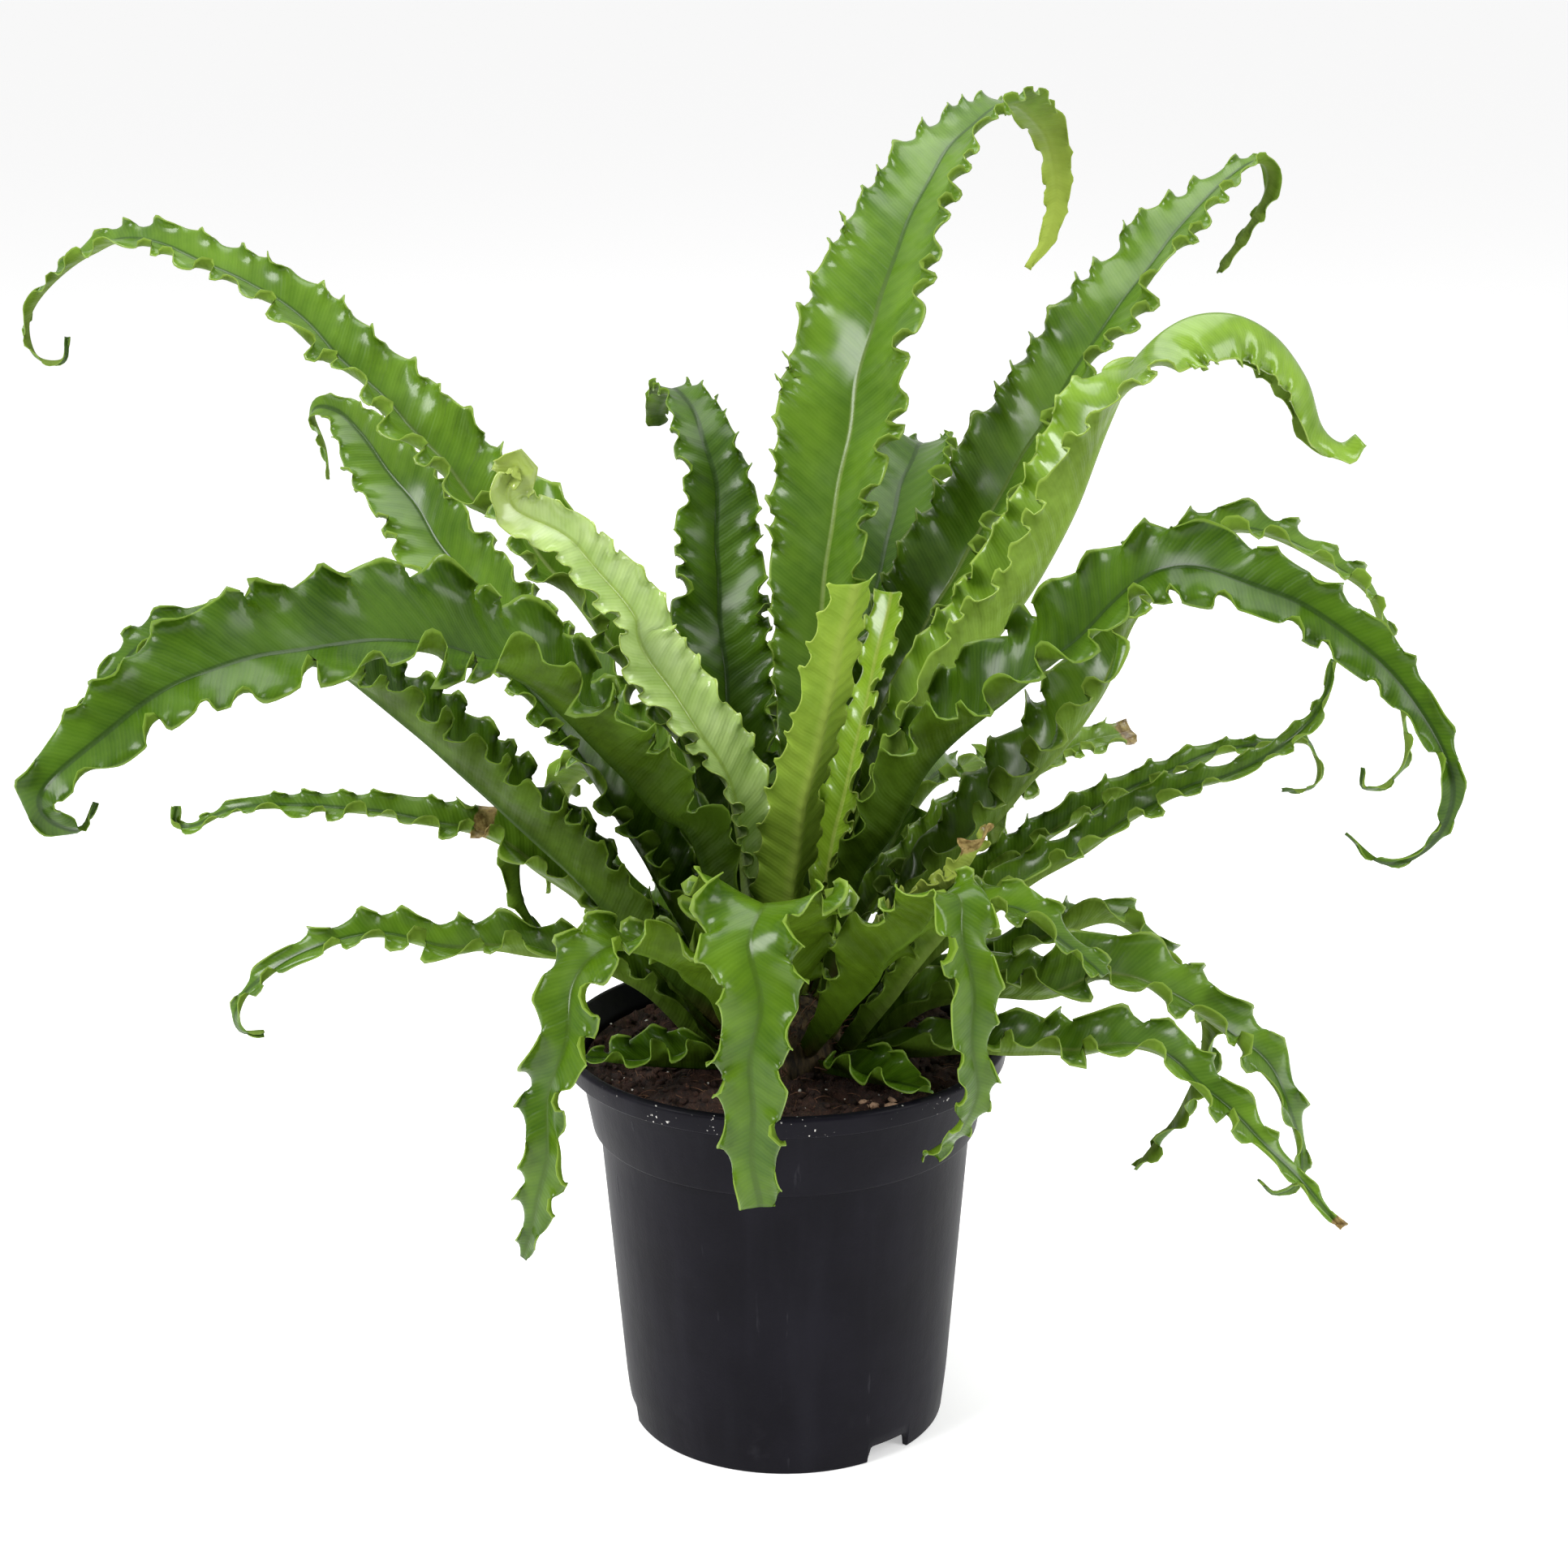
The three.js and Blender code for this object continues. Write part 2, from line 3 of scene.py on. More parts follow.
import bmesh
import bpy
import numpy as np
from mathutils import Matrix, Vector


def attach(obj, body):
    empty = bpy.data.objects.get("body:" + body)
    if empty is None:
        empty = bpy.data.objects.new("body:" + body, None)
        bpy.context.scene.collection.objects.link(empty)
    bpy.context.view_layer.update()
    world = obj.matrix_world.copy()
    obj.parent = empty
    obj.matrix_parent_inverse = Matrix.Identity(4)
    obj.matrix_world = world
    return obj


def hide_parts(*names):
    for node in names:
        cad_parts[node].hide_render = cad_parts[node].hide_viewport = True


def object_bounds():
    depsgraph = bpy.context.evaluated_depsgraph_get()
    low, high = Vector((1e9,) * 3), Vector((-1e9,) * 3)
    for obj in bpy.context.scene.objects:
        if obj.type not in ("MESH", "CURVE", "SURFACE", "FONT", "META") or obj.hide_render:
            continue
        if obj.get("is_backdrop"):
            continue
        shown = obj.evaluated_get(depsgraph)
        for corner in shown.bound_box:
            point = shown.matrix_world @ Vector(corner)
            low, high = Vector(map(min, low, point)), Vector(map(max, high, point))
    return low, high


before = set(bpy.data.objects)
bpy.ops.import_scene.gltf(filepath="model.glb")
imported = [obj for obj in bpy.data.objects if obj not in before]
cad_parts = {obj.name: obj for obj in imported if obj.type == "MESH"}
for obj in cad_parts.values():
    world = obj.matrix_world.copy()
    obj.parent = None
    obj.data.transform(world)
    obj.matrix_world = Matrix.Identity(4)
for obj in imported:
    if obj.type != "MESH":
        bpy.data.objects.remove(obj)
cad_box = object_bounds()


# Camera: it stands a good metre in front of the plant, a little higher than the tallest
# frond, and looks down on the pot's rim. It has a plain lens with no shift and no blur.
CAMERA_PLACE = (0.00043, -1.0574, 0.5727)
LOOKING_DOWN = math.radians(16.8)
LEAN = math.radians(-0.36)
SENSOR_WIDTH = 36.0
FOCAL_LENGTH = 68.19

camera_data = bpy.data.cameras.new("camera")
camera_data.sensor_width = SENSOR_WIDTH
camera_data.lens = FOCAL_LENGTH
camera = bpy.data.objects.new("camera", camera_data)
bpy.context.scene.collection.objects.link(camera)
camera.matrix_world = (
    Matrix.Translation(CAMERA_PLACE)
    @ Matrix.Rotation(math.pi / 2 - LOOKING_DOWN, 4, "X")
    @ Matrix.Rotation(LEAN, 4, "Z")
)
bpy.context.scene.camera = camera
bpy.context.scene.view_settings.view_transform = "Standard"


# Floor: a plain pale sweep of matt board, so large that it fills the view. It isn't part
# of the plant.
FLOOR_HALF = 30.0
FLOOR_COLOUR = (0.86, 0.86, 0.86, 1.0)
FLOOR_ROUGHNESS = 0.9
FLOOR_GLOW = 0.45


class Value:
    """A number, colour or vector that runs through one material's nodes. An expression on
    it adds its Math nodes, and node() adds any other node: its settings go in first, and
    then what goes into each of its sockets."""

    def __init__(self, tree, output=None):
        self.tree = tree
        self.output = output

    def node(self, kind, settings, sockets, result=0):
        made = self.tree.nodes.new("ShaderNode" + kind)
        for name, setting in settings.items():
            setattr(made, name, setting)
        for name, value in sockets.items():
            if isinstance(value, Value):
                self.tree.links.new(value.output, made.inputs[name])
            else:
                made.inputs[name].default_value = value
        return Value(self.tree, made.outputs[result])

    def maths(self, operation, *terms):
        """A Math node, whose terms are values or plain numbers."""
        return self.node("Math", {"operation": operation}, dict(enumerate(terms)))

    def __add__(self, other):
        return self.maths("ADD", self, other)

    def __sub__(self, other):
        return self.maths("SUBTRACT", self, other)

    def __rsub__(self, other):
        return self.maths("SUBTRACT", other, self)

    def __mul__(self, other):
        return self.maths("MULTIPLY", self, other)

    __radd__ = __add__
    __rmul__ = __mul__

    def size(self):
        """The value without its sign."""
        return self.maths("ABSOLUTE", self)

    def wave(self):
        """The sine of the value."""
        return self.maths("SINE", self)

    def step(self, low, high):
        """Rises smoothly from 0 at low to 1 at high, or falls where high is below low."""
        span = {"interpolation_type": "SMOOTHSTEP"}
        ends = {0: self, 1: low, 2: high, 3: 0.0, 4: 1.0}
        if low > high:
            ends.update({1: high, 2: low, 3: 1.0, 4: 0.0})
        return self.node("MapRange", span, ends)

    def mix(self, first, second):
        """Blends from the first colour to the second as the value goes from 0 to 1."""
        colours = [c if isinstance(c, Value) else (*c, 1.0) for c in (first, second)]
        sockets = {0: self, 6: colours[0], 7: colours[1]}
        return self.node("Mix", {"data_type": "RGBA"}, sockets, 2)

    def noise(self, scale, detail=3.0, roughness=0.55):
        """Soft noise read at the value as a place."""
        sockets = {"Vector": self, "Scale": scale, "Detail": detail, "Roughness": roughness}
        return self.node("TexNoise", {}, sockets)

    def place(self):
        """The place on the piece, in metres from the middle of the pot's foot."""
        return self.node("TexCoord", {}, {}, 3)

    def attribute(self, title):
        """The three numbers that the mesh keeps at each point under a title."""
        return self.node("Attribute", {"attribute_name": title}, {}, 1).parts()

    def stretched(self, *scale):
        """The place with its axes multiplied, so that noise on it is drawn out."""
        return self.node("Mapping", {}, {"Vector": self, "Scale": scale})

    def parts(self):
        """The three numbers of a vector."""
        split = self.node("SeparateXYZ", {}, {0: self})
        return [Value(self.tree, output) for output in split.output.node.outputs]


def new_material(name):
    """A material, its shader and a value that its nodes are started from."""
    material = bpy.data.materials.new(name)
    material.use_nodes = True
    shader = material.node_tree.nodes["Principled BSDF"]
    return material, shader, Value(material.node_tree)


def feed(shader, **values):
    """Sets the shader's sockets, named with underscores for spaces, to values or links."""
    for name, value in values.items():
        socket = shader.inputs[name.replace("_", " ")]
        if isinstance(value, Value):
            value.tree.links.new(value.output, socket)
        else:
            socket.default_value = value


def new_piece(name, points, faces, material):
    """A smooth mesh object at the origin, from points in metres and faces."""
    mesh = bpy.data.meshes.new(name)
    mesh.from_pydata(points, [], faces)
    mesh.polygons.foreach_set("use_smooth", np.ones(len(mesh.polygons), bool))
    mesh.materials.append(material)
    mesh.update()
    piece = bpy.data.objects.new(name, mesh)
    bpy.context.scene.collection.objects.link(piece)
    return piece


floor_material, shader, start = new_material("floor_board")
feed(shader, Base_Color=FLOOR_COLOUR, Roughness=FLOOR_ROUGHNESS)
feed(shader, Emission_Color=FLOOR_COLOUR, Emission_Strength=FLOOR_GLOW)
floor_corners = FLOOR_HALF * np.array([(-1, -1, 0), (1, -1, 0), (1, 1, 0), (-1, 1, 0)])
floor = new_piece("floor", floor_corners, [(0, 1, 2, 3)], floor_material)
floor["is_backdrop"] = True


# Light: a white room, darker on the camera's side, with a broad soft box high on the left,
# a weaker one on the right and one overhead, which give leaves and pot their soft shine.
ROOM_FRONT, ROOM_BACK = 0.30, 0.75
ROOM_TURNS_PALE = (-0.5, 0.6)
CEILING_SHARE = 0.6
SOFT_BOXES = (
    # place, what it faces, width, height, watts
    ((-1.3, -0.9, 1.5), (0.0, 0.0, 0.25), 0.9, 0.9, 40.0),
    ((1.4, -0.7, 1.1), (0.0, 0.0, 0.25), 0.6, 1.3, 18.0),
    ((0.1, 0.5, 1.9), (0.0, 0.0, 0.3), 1.6, 1.0, 20.0),
)

world = bpy.data.worlds.new("room")
world.use_nodes = True
backdrop = world.node_tree.nodes["Background"]
backdrop.inputs["Color"].default_value = (1.0, 1.0, 1.0, 1.0)
start = Value(world.node_tree)
_, deep, high = start.node("TexCoord", {}, {}, 0).parts()
toward_back = (deep + high * CEILING_SHARE).step(*ROOM_TURNS_PALE)
brightness = ROOM_FRONT + (ROOM_BACK - ROOM_FRONT) * toward_back
world.node_tree.links.new(brightness.output, backdrop.inputs["Strength"])
bpy.context.scene.world = world


def aimed(place, target):
    """Where a lamp stands, turned so that it shines from place towards target."""
    forward = np.subtract(target, place)
    forward /= np.linalg.norm(forward)
    right = np.cross(forward, (0.0, 0.0, 1.0))
    right /= np.linalg.norm(right)
    up = np.cross(right, forward)
    rows = [(*axis, shift) for axis, shift in zip(np.array((right, up, -forward)).T, place)]
    return Matrix([*rows, (0, 0, 0, 1)])


for number, (place, target, width, height, watts) in enumerate(SOFT_BOXES):
    light = bpy.data.lights.new(f"soft_box_{number}", "AREA")
    light.shape = "RECTANGLE"
    light.size = width
    light.size_y = height
    light.energy = watts
    lamp = bpy.data.objects.new(light.name, light)
    bpy.context.scene.collection.objects.link(lamp)
    lamp.matrix_world = aimed(place, target)


# Pot: a thin moulded nursery pot of black recycled plastic, satin outside, with a lip
# turned over at the top, a step where pots stack, and three drain slots cut in its foot.
MM = 0.001
POT_OUTSIDE = (
    # radius, height, corner radius
    (0.0, 0.0, 0),
    (44.0, 0.0, 0.8),
    (46.0, 7.0, 0.8),
    (58.6, 7.0, 0.6),
    (58.6, 0.0, 0.4),
    (61.0, 0.0, 0.8),
    (62.8, 15.0, 4.0),
    (71.0, 119.0, 0.5),
    (73.7, 120.0, 0.7),
    (78.5, 147.0, 0.8),
    (84.2, 147.2, 0.6),
    (85.0, 154.0, 0.9),
    (83.8, 155.0, 0.7),
)
POT_INSIDE = (
    (82.0, 155.0, 0.6),
    (77.0, 147.0, 1.2),
    (72.2, 120.5, 1.0),
    (69.5, 119.0, 1.0),
    (61.3, 11.5, 2.0),
    (58.3, 8.5, 1.5),
    (44.0, 8.5, 1.0),
    (42.0, 1.5, 1.0),
    (0.0, 1.5, 0),
)
POT_TURNS = 192
POT_LONGEST = 9.0
PLASTIC_DARK, PLASTIC_PALE = (0.0040, 0.0036, 0.0062), (0.0070, 0.0064, 0.0105)
FLOW_MARK = (0.013, 0.0125, 0.018)
SCUFFED = (0.07, 0.07, 0.08)
LIME_SPECK = (0.62, 0.60, 0.57)
LIP_HEIGHT = (0.1465, 0.148)
SLOT_ANGLES = np.radians((-50.5, 69.5, 189.5))
SLOT_HALF, SLOT_CORNER, SLOT_HEIGHT = 10.0, 2.6, 6.5
FOOT_RADIUS = 60.0


def rounded(corners, steps=4):
    """A profile whose corners are curves: each corner (radius, height, round) becomes a
    quadratic curve from a point that far before it to a point that far after it."""
    corners = np.array(corners, float)
    shares = np.linspace(0.0, 1.0, steps + 1)[:, None]
    line = [corners[:1, :2]]
    for before, corner, after in zip(corners, corners[1:], corners[2:]):
        ends = []
        for neighbour in (before, after):
            way = neighbour[:2] - corner[:2]
            reach = min(corner[2], np.linalg.norm(way) * 0.45)
            ends.append(corner[:2] + way * reach / np.linalg.norm(way))
        first, last = ends
        line.append(
            (1 - shares) ** 2 * first
            + 2 * shares * (1 - shares) * corner[:2]
            + shares**2 * last
        )
    line.append(corners[-1:, :2])
    return np.concatenate(line)


def filled_in(line, longest):
    """The same profile with extra points, so that no stretch is longer than longest."""
    lengths = np.linalg.norm(np.diff(line, axis=0), axis=1)
    counts = np.maximum(1, np.ceil(lengths / longest)).astype(int)
    shares = np.concatenate([i + np.arange(n) / n for i, n in enumerate(counts)])
    shares = np.append(shares, len(line) - 1)
    index = np.arange(len(line))
    return np.stack([np.interp(shares, index, line[:, axis]) for axis in (0, 1)], 1)


def slot_rise(angles):
    """Height of the foot's edge: zero, and SLOT_HEIGHT within SLOT_HALF of a drain slot's
    middle, with its upper corners rounded to a quarter ellipse."""
    turns = (angles[:, None] - SLOT_ANGLES + math.pi) % (2 * math.pi) - math.pi
    away = np.abs(turns).min(1) * FOOT_RADIUS
    edge = np.clip((SLOT_HALF - away) / SLOT_CORNER, 0.0, 1.0)
    return SLOT_HEIGHT * np.sqrt(1 - (1 - edge) ** 2)


def ring_faces(rings, turns):
    """Quads between neighbouring rings of a surface of revolution, wound to face outward
    where the profile runs up the outside."""
    i, j = np.meshgrid(np.arange(rings - 1), np.arange(turns), indexing="ij")
    k = (j + 1) % turns
    corners = [i * turns + j, i * turns + k, (i + 1) * turns + k, (i + 1) * turns + j]
    return np.stack(corners, -1).reshape(-1, 4)


def join_poles(piece):
    """Merges the points that share one place, such as those on the axis."""
    mesh = bmesh.new()
    mesh.from_mesh(piece.data)
    bmesh.ops.remove_doubles(mesh, verts=mesh.verts, dist=1e-6)
    bmesh.ops.dissolve_degenerate(mesh, edges=mesh.edges, dist=1e-7)
    mesh.to_mesh(piece.data)
    mesh.free()


def bumped(height, distance, strength=1.0):
    """The normal of a surface whose height varies, with its full depth in metres."""
    sockets = {"Strength": strength, "Distance": distance, "Height": height}
    return height.node("Bump", {}, sockets)


def pot_points():
    """The profile turned about the axis: x = r cos a, y = r sin a. Below the channel's
    height the foot's points are squeezed upward, z = rise + z (7 - rise) / 7, so that
    the foot's edge follows the drain slots."""
    line = filled_in(rounded(POT_OUTSIDE + POT_INSIDE), POT_LONGEST)
    spread = np.linspace(0, 2 * math.pi, POT_TURNS, endpoint=False)
    sides = np.array((-1, 1)) * SLOT_HALF / FOOT_RADIUS
    slides = np.array((-1, 1)) * (SLOT_HALF - SLOT_CORNER / 2) / FOOT_RADIUS
    extra = SLOT_ANGLES[:, None] + np.concatenate((sides, sides * 1.01, slides))
    extra = extra % (2 * math.pi)
    angles = np.unique(np.round(np.concatenate((spread, extra.ravel())), 5))
    radius, height = line[:, :1], line[:, 1:]
    channel = POT_OUTSIDE[2][1]
    foot = (radius > POT_OUTSIDE[3][0] - 0.5) & (height < channel)
    foot &= np.arange(len(line))[:, None] < len(line) // 2
    rise = slot_rise(angles)
    heights = np.where(foot, rise + height * (channel - rise) / channel, height)
    points = np.stack(
        (radius * np.cos(angles), radius * np.sin(angles), heights + 0 * angles), -1
    )
    return points.reshape(-1, 3) * MM, len(line), len(angles)


pot_material, shader, start = new_material("pot_plastic")
place = start.place()
_, deep, high = place.parts()
cloud = place.noise(26.0)
grain = place.noise(900.0, 2.0)
streak = place.stretched(60.0, 60.0, 5.0).noise(1.0)
scratch = place.stretched(220.0, 220.0, 26.0).noise(1.0, 5.0)
scuff = scratch.step(0.66, 0.72) * cloud.step(0.45, 0.62)
dust = place.noise(70.0, 6.0).step(0.56, 0.72) * high.step(0.03, 0.0) * 0.35
worn_lip = (high.step(0.1468, 0.1478) * cloud.step(0.4, 0.65)) * 0.5
specks = place.noise(700.0, 1.0).step(0.70, 0.74) * high.step(*LIP_HEIGHT)
specks = specks * deep.step(-0.05, -0.07) * place.noise(60.0).step(0.46, 0.56)
colour = cloud.step(0.3, 0.75).mix(PLASTIC_DARK, PLASTIC_PALE)
colour = (streak.step(0.45, 0.75) * 0.35).mix(colour, FLOW_MARK)
colour = (scuff * 0.2 + dust * 0.4).mix(colour, SCUFFED)
colour = specks.mix(colour, LIME_SPECK)
shine = 0.34 + cloud * 0.12 + streak * 0.06 + scuff * 0.15 + dust * 0.3 - worn_lip * 0.18
relief = streak * 0.6 + grain * 0.12 + scuff * 0.25 + cloud * 1.5
feed(shader, Base_Color=colour, Roughness=shine, Normal=bumped(relief, 0.0004))
feed(shader, Specular_IOR_Level=0.08)

points, rings, turns = pot_points()
pot = new_piece("pot_shell", points, ring_faces(rings, turns), pot_material)
join_poles(pot)
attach(pot, "root")
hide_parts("pot")


# Soil: damp dark peat with a crumbly top, filled to a finger's width below the rim. A
# plain body reaches down to the pot's floor, as the solid does.
SOIL_TOP = 145.0
SOIL_EDGE = 76.0
SOIL_HOLE = 24.9
SOIL_RINGS = 34
SOIL_TURNS = 200
SOIL_LUMPS = (38.0, 17.0, 8.0, 4.0), (3.4, 3.0, 2.2, 1.3)
WAVES_PER_SIZE = 5
SOIL_LIFT = 0.4
SOIL_SEED = 5
PEAT_BLACK, PEAT_BROWN = (0.008, 0.0035, 0.0022), (0.055, 0.021, 0.011)
PEAT_PATCH = (0.075, 0.028, 0.015)
PEAT_FIBRE = (0.17, 0.070, 0.036)
SOIL_UNDER = (
    (15.3, 119.7),
    (0.0, 119.7),
)
SOIL_SIDES = (
    (0.0, 1.8),
    (41.7, 1.8),
    (43.7, 8.8),
    (57.7, 8.8),
    (60.4, 11.5),
    (68.9, 119.0),
)


def lumps(x, y, seed, sizes, heights):
    """Sum of sine waves of each size, which run in random directions."""
    random = np.random.default_rng(seed)
    total = np.zeros_like(x)
    for size, height in zip(sizes, heights):
        for _ in range(WAVES_PER_SIZE):
            turn, phase = random.uniform(0, 2 * math.pi, 2)
            run = x * math.cos(turn) + y * math.sin(turn)
            total += height / WAVES_PER_SIZE * np.sin(2 * math.pi * run / size + phase)
    return total


def soil_height(x, y):
    """Height of the peat's top at a place, in mm: the flat fill plus lumps of several
    sizes, level at the pot's wall and at the crown."""
    radius = np.hypot(x, y)
    calm = np.clip((SOIL_EDGE - radius) / 3, 0, 1) * np.clip((radius - SOIL_HOLE) / 3, 0, 1)
    rough = lumps(x, y, SOIL_SEED, *SOIL_LUMPS)
    return SOIL_TOP + calm * (rough + SOIL_LIFT)


def soil_points():
    """Sides turned about the axis, then rings that shrink from the pot's wall to the
    crown's hole, raised to the peat's height, then the hole's bottom."""
    angles = np.linspace(0, 2 * math.pi, SOIL_TURNS, endpoint=False)
    rings = np.linspace(SOIL_EDGE, SOIL_HOLE, SOIL_RINGS)
    radius = np.concatenate(([r for r, _ in SOIL_SIDES], rings, [r for r, _ in SOIL_UNDER]))
    level = np.concatenate(([z for _, z in SOIL_SIDES], 0 * rings, [z for _, z in SOIL_UNDER]))
    x = radius[:, None] * np.cos(angles)
    y = radius[:, None] * np.sin(angles)
    z = level[:, None] + 0 * x
    top = slice(len(SOIL_SIDES), len(SOIL_SIDES) + SOIL_RINGS)
    z[top] = soil_height(x[top], y[top])
    return np.stack((x, y, z), -1).reshape(-1, 3) * MM, len(radius)


soil_material, shader, start = new_material("peat")
place = start.place()
clods = place.noise(320.0, 6.0, 0.7)
patches = place.noise(60.0, 3.0)
fibre = place.stretched(900.0, 260.0, 900.0).noise(1.0, 3.0)
colour = clods.step(0.3, 0.7).mix(PEAT_BLACK, PEAT_BROWN)
colour = (patches.step(0.45, 0.7) * 0.5).mix(colour, PEAT_PATCH)
colour = (fibre.step(0.64, 0.7) * 0.6).mix(colour, PEAT_FIBRE)
feed(shader, Base_Color=colour, Roughness=0.75 + patches * 0.2)
feed(shader, Normal=bumped(clods + fibre * 0.3, 0.0022))

points, rings = soil_points()
soil = new_piece("soil_bed", points, ring_faces(rings, SOIL_TURNS), soil_material)
join_poles(soil)
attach(soil, "root")
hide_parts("soil")


# Loose peat: crumbs, short root fibres, white perlite grains and one pale wood chip that
# lie on the soil, all pressed a little into it. Below are the number of each, and their
# sizes and heights above the soil in mm.
CRUMBS, CRUMB_SIZE = 1500, 2.3
GRAINS, GRAIN_SIZES, GRAIN_LIFT = 90, (0.3, 0.9), 0.5
FIBRES, FIBRE_LENGTHS, FIBRE_HALF, FIBRE_LIFT = 260, (3, 9), 0.16, 0.6
CHIP_PARTS, CHIP_SIZES = 9, (1.4, 2.6)
CHIP_PLACE, CHIP_HALF, CHIP_LIFT = (35.0, -50.0), (7.0, 3.0, 0.5), 1.2
PERLITE_DULL, PERLITE_WHITE = (0.45, 0.41, 0.36), (0.80, 0.78, 0.74)
CHIP_DARK, CHIP_PALE = (0.25, 0.13, 0.07), (0.62, 0.42, 0.28)
FIBRE_DARK, FIBRE_PALE = (0.05, 0.02, 0.01), (0.30, 0.15, 0.08)
GOLDEN = (1 + math.sqrt(5)) / 2
PEBBLE_FACES = np.array((
    (0, 11, 5), (0, 5, 1), (0, 1, 7), (0, 7, 10), (0, 10, 11),
    (1, 5, 9), (5, 11, 4), (11, 10, 2), (10, 7, 6), (7, 1, 8),
    (3, 9, 4), (3, 4, 2), (3, 2, 6), (3, 6, 8), (3, 8, 9),
    (4, 9, 5), (2, 4, 11), (6, 2, 10), (8, 6, 7), (9, 8, 1),
))


def pebble_corners():
    """The twelve corners of a regular twenty-sided body of radius 1."""
    g = GOLDEN
    corners = np.array((
        (-1, g, 0), (1, g, 0), (-1, -g, 0), (1, -g, 0), (0, -1, g), (0, 1, g),
        (0, -1, -g), (0, 1, -g), (g, 0, -1), (g, 0, 1), (-g, 0, -1), (-g, 0, 1),
    ), float)
    return corners / math.hypot(1, g)


def on_the_soil(count, random, inner=27.0, outer=75.0):
    """Random places on the peat, spread evenly over its area."""
    radius = np.sqrt(random.uniform(inner**2, outer**2, count))
    angle = random.uniform(0, 2 * math.pi, count)
    x, y = radius * np.cos(angle), radius * np.sin(angle)
    return np.stack((x, y, soil_height(x, y)), 1)


def pebbles(places, sizes, random, flat=0.7):
    """One lumpy pebble at each place: the regular body with each corner moved in or out
    by up to a third, squashed by flat, turned about the upright, then sized."""
    count = len(places)
    body = pebble_corners() * random.uniform(0.66, 1.2, (count, 12, 1))
    body = body * random.uniform(0.7, 1.3, (count, 1, 3)) * (1, 1, flat)
    turn = random.uniform(0, 2 * math.pi, count)[:, None]
    x = body[..., 0] * np.cos(turn) - body[..., 1] * np.sin(turn)
    y = body[..., 0] * np.sin(turn) + body[..., 1] * np.cos(turn)
    points = np.stack((x, y, body[..., 2]), -1) * sizes[:, None, None] + places[:, None]
    faces = PEBBLE_FACES + 12 * np.arange(count)[:, None, None]
    return points.reshape(-1, 3) * MM, faces.reshape(-1, 3)


random = np.random.default_rng(11)
places = on_the_soil(CRUMBS, random)
sizes = random.uniform(0.5, 1.0, CRUMBS) ** 2 * CRUMB_SIZE
crumbs = new_piece("soil_crumbs", *pebbles(places, sizes, random), soil_material)

perlite_material, shader, start = new_material("perlite")
spots = start.place().noise(800.0)
feed(shader, Base_Color=spots.mix(PERLITE_DULL, PERLITE_WHITE), Roughness=0.8)
feed(shader, Normal=bumped(spots, 0.0003))
places = on_the_soil(GRAINS, random)
places[:, 2] += GRAIN_LIFT
sizes = random.uniform(*GRAIN_SIZES, GRAINS)
perlite = new_piece("perlite_grains", *pebbles(places, sizes, random), perlite_material)

chip_material, shader, start = new_material("wood_chip")
wood = start.place().stretched(1200.0, 300.0, 600.0).noise(1.0)
feed(shader, Base_Color=wood.mix(CHIP_DARK, CHIP_PALE), Roughness=0.85)
feed(shader, Normal=bumped(wood, 0.0005))
places = random.uniform(-1, 1, (CHIP_PARTS, 3)) * CHIP_HALF
places = places + (*CHIP_PLACE, soil_height(*np.array(CHIP_PLACE)) + CHIP_LIFT)
sizes = random.uniform(*CHIP_SIZES, CHIP_PARTS)
chip = new_piece("wood_chip", *pebbles(places, sizes, random, 0.5), chip_material)


def strands(roots, ways, lengths, half, lift, random, steps=7):
    """Thin three-sided strands: each runs from its root along its way, bends sideways by a
    random share of its length as the square of the share along it, and thins to its end.
    It is raised by lift times the share times what is left of the way."""
    count = len(roots)
    share = np.linspace(0, 1, steps)[None, :, None]
    side = np.cross(ways, (0, 0, 1.0))
    bend = random.uniform(-0.5, 0.5, (count, 1, 1)) * side[:, None]
    arch = np.array((0, 0, 1.0)) * lift
    line = roots[:, None] + lengths[:, None, None] * (
        ways[:, None] * share + bend * share**2 + arch * share * (1 - share)
    )
    corner = np.radians((90, 210, 330))
    ring = np.cos(corner)[:, None] * side[:, None, None] + np.sin(corner)[:, None] * (0, 0, 1.0)
    points = line[:, :, None] + ring * (half * (1 - 0.6 * share))[..., None]
    i, j = np.meshgrid(np.arange(steps - 1), np.arange(3), indexing="ij")
    k = (j + 1) % 3
    quads = np.stack((i * 3 + j, i * 3 + k, i * 3 + 3 + k, i * 3 + 3 + j), -1).reshape(-1, 4)
    shift = 3 * steps * np.arange(count)
    quads = (quads + shift[:, None, None]).reshape(-1, 4)
    first = np.array((2, 1, 0)) + shift[:, None]
    last = np.array((0, 1, 2)) + 3 * (steps - 1) + shift[:, None]
    return points.reshape(-1, 3) * MM, [*quads.tolist(), *first.tolist(), *last.tolist()]


def level_ways(count, random):
    """Random level directions of length 1."""
    turn = random.uniform(0, 2 * math.pi, count)
    return np.stack((np.cos(turn), np.sin(turn), 0 * turn), 1)


fibre_material, shader, start = new_material("root_fibre")
colour = start.place().noise(90.0).mix(FIBRE_DARK, FIBRE_PALE)
feed(shader, Base_Color=colour, Roughness=0.8)
roots = on_the_soil(FIBRES, random, 30.0, 68.0)
roots[:, 2] += FIBRE_LIFT
ways = level_ways(FIBRES, random)
lengths = random.uniform(*FIBRE_LENGTHS, FIBRES)
fibres = new_piece(
    "root_fibres", *strands(roots, ways, lengths, FIBRE_HALF, 0.5, random), fibre_material
)
for piece in (crumbs, perlite, chip, fibres):
    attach(piece, "root")


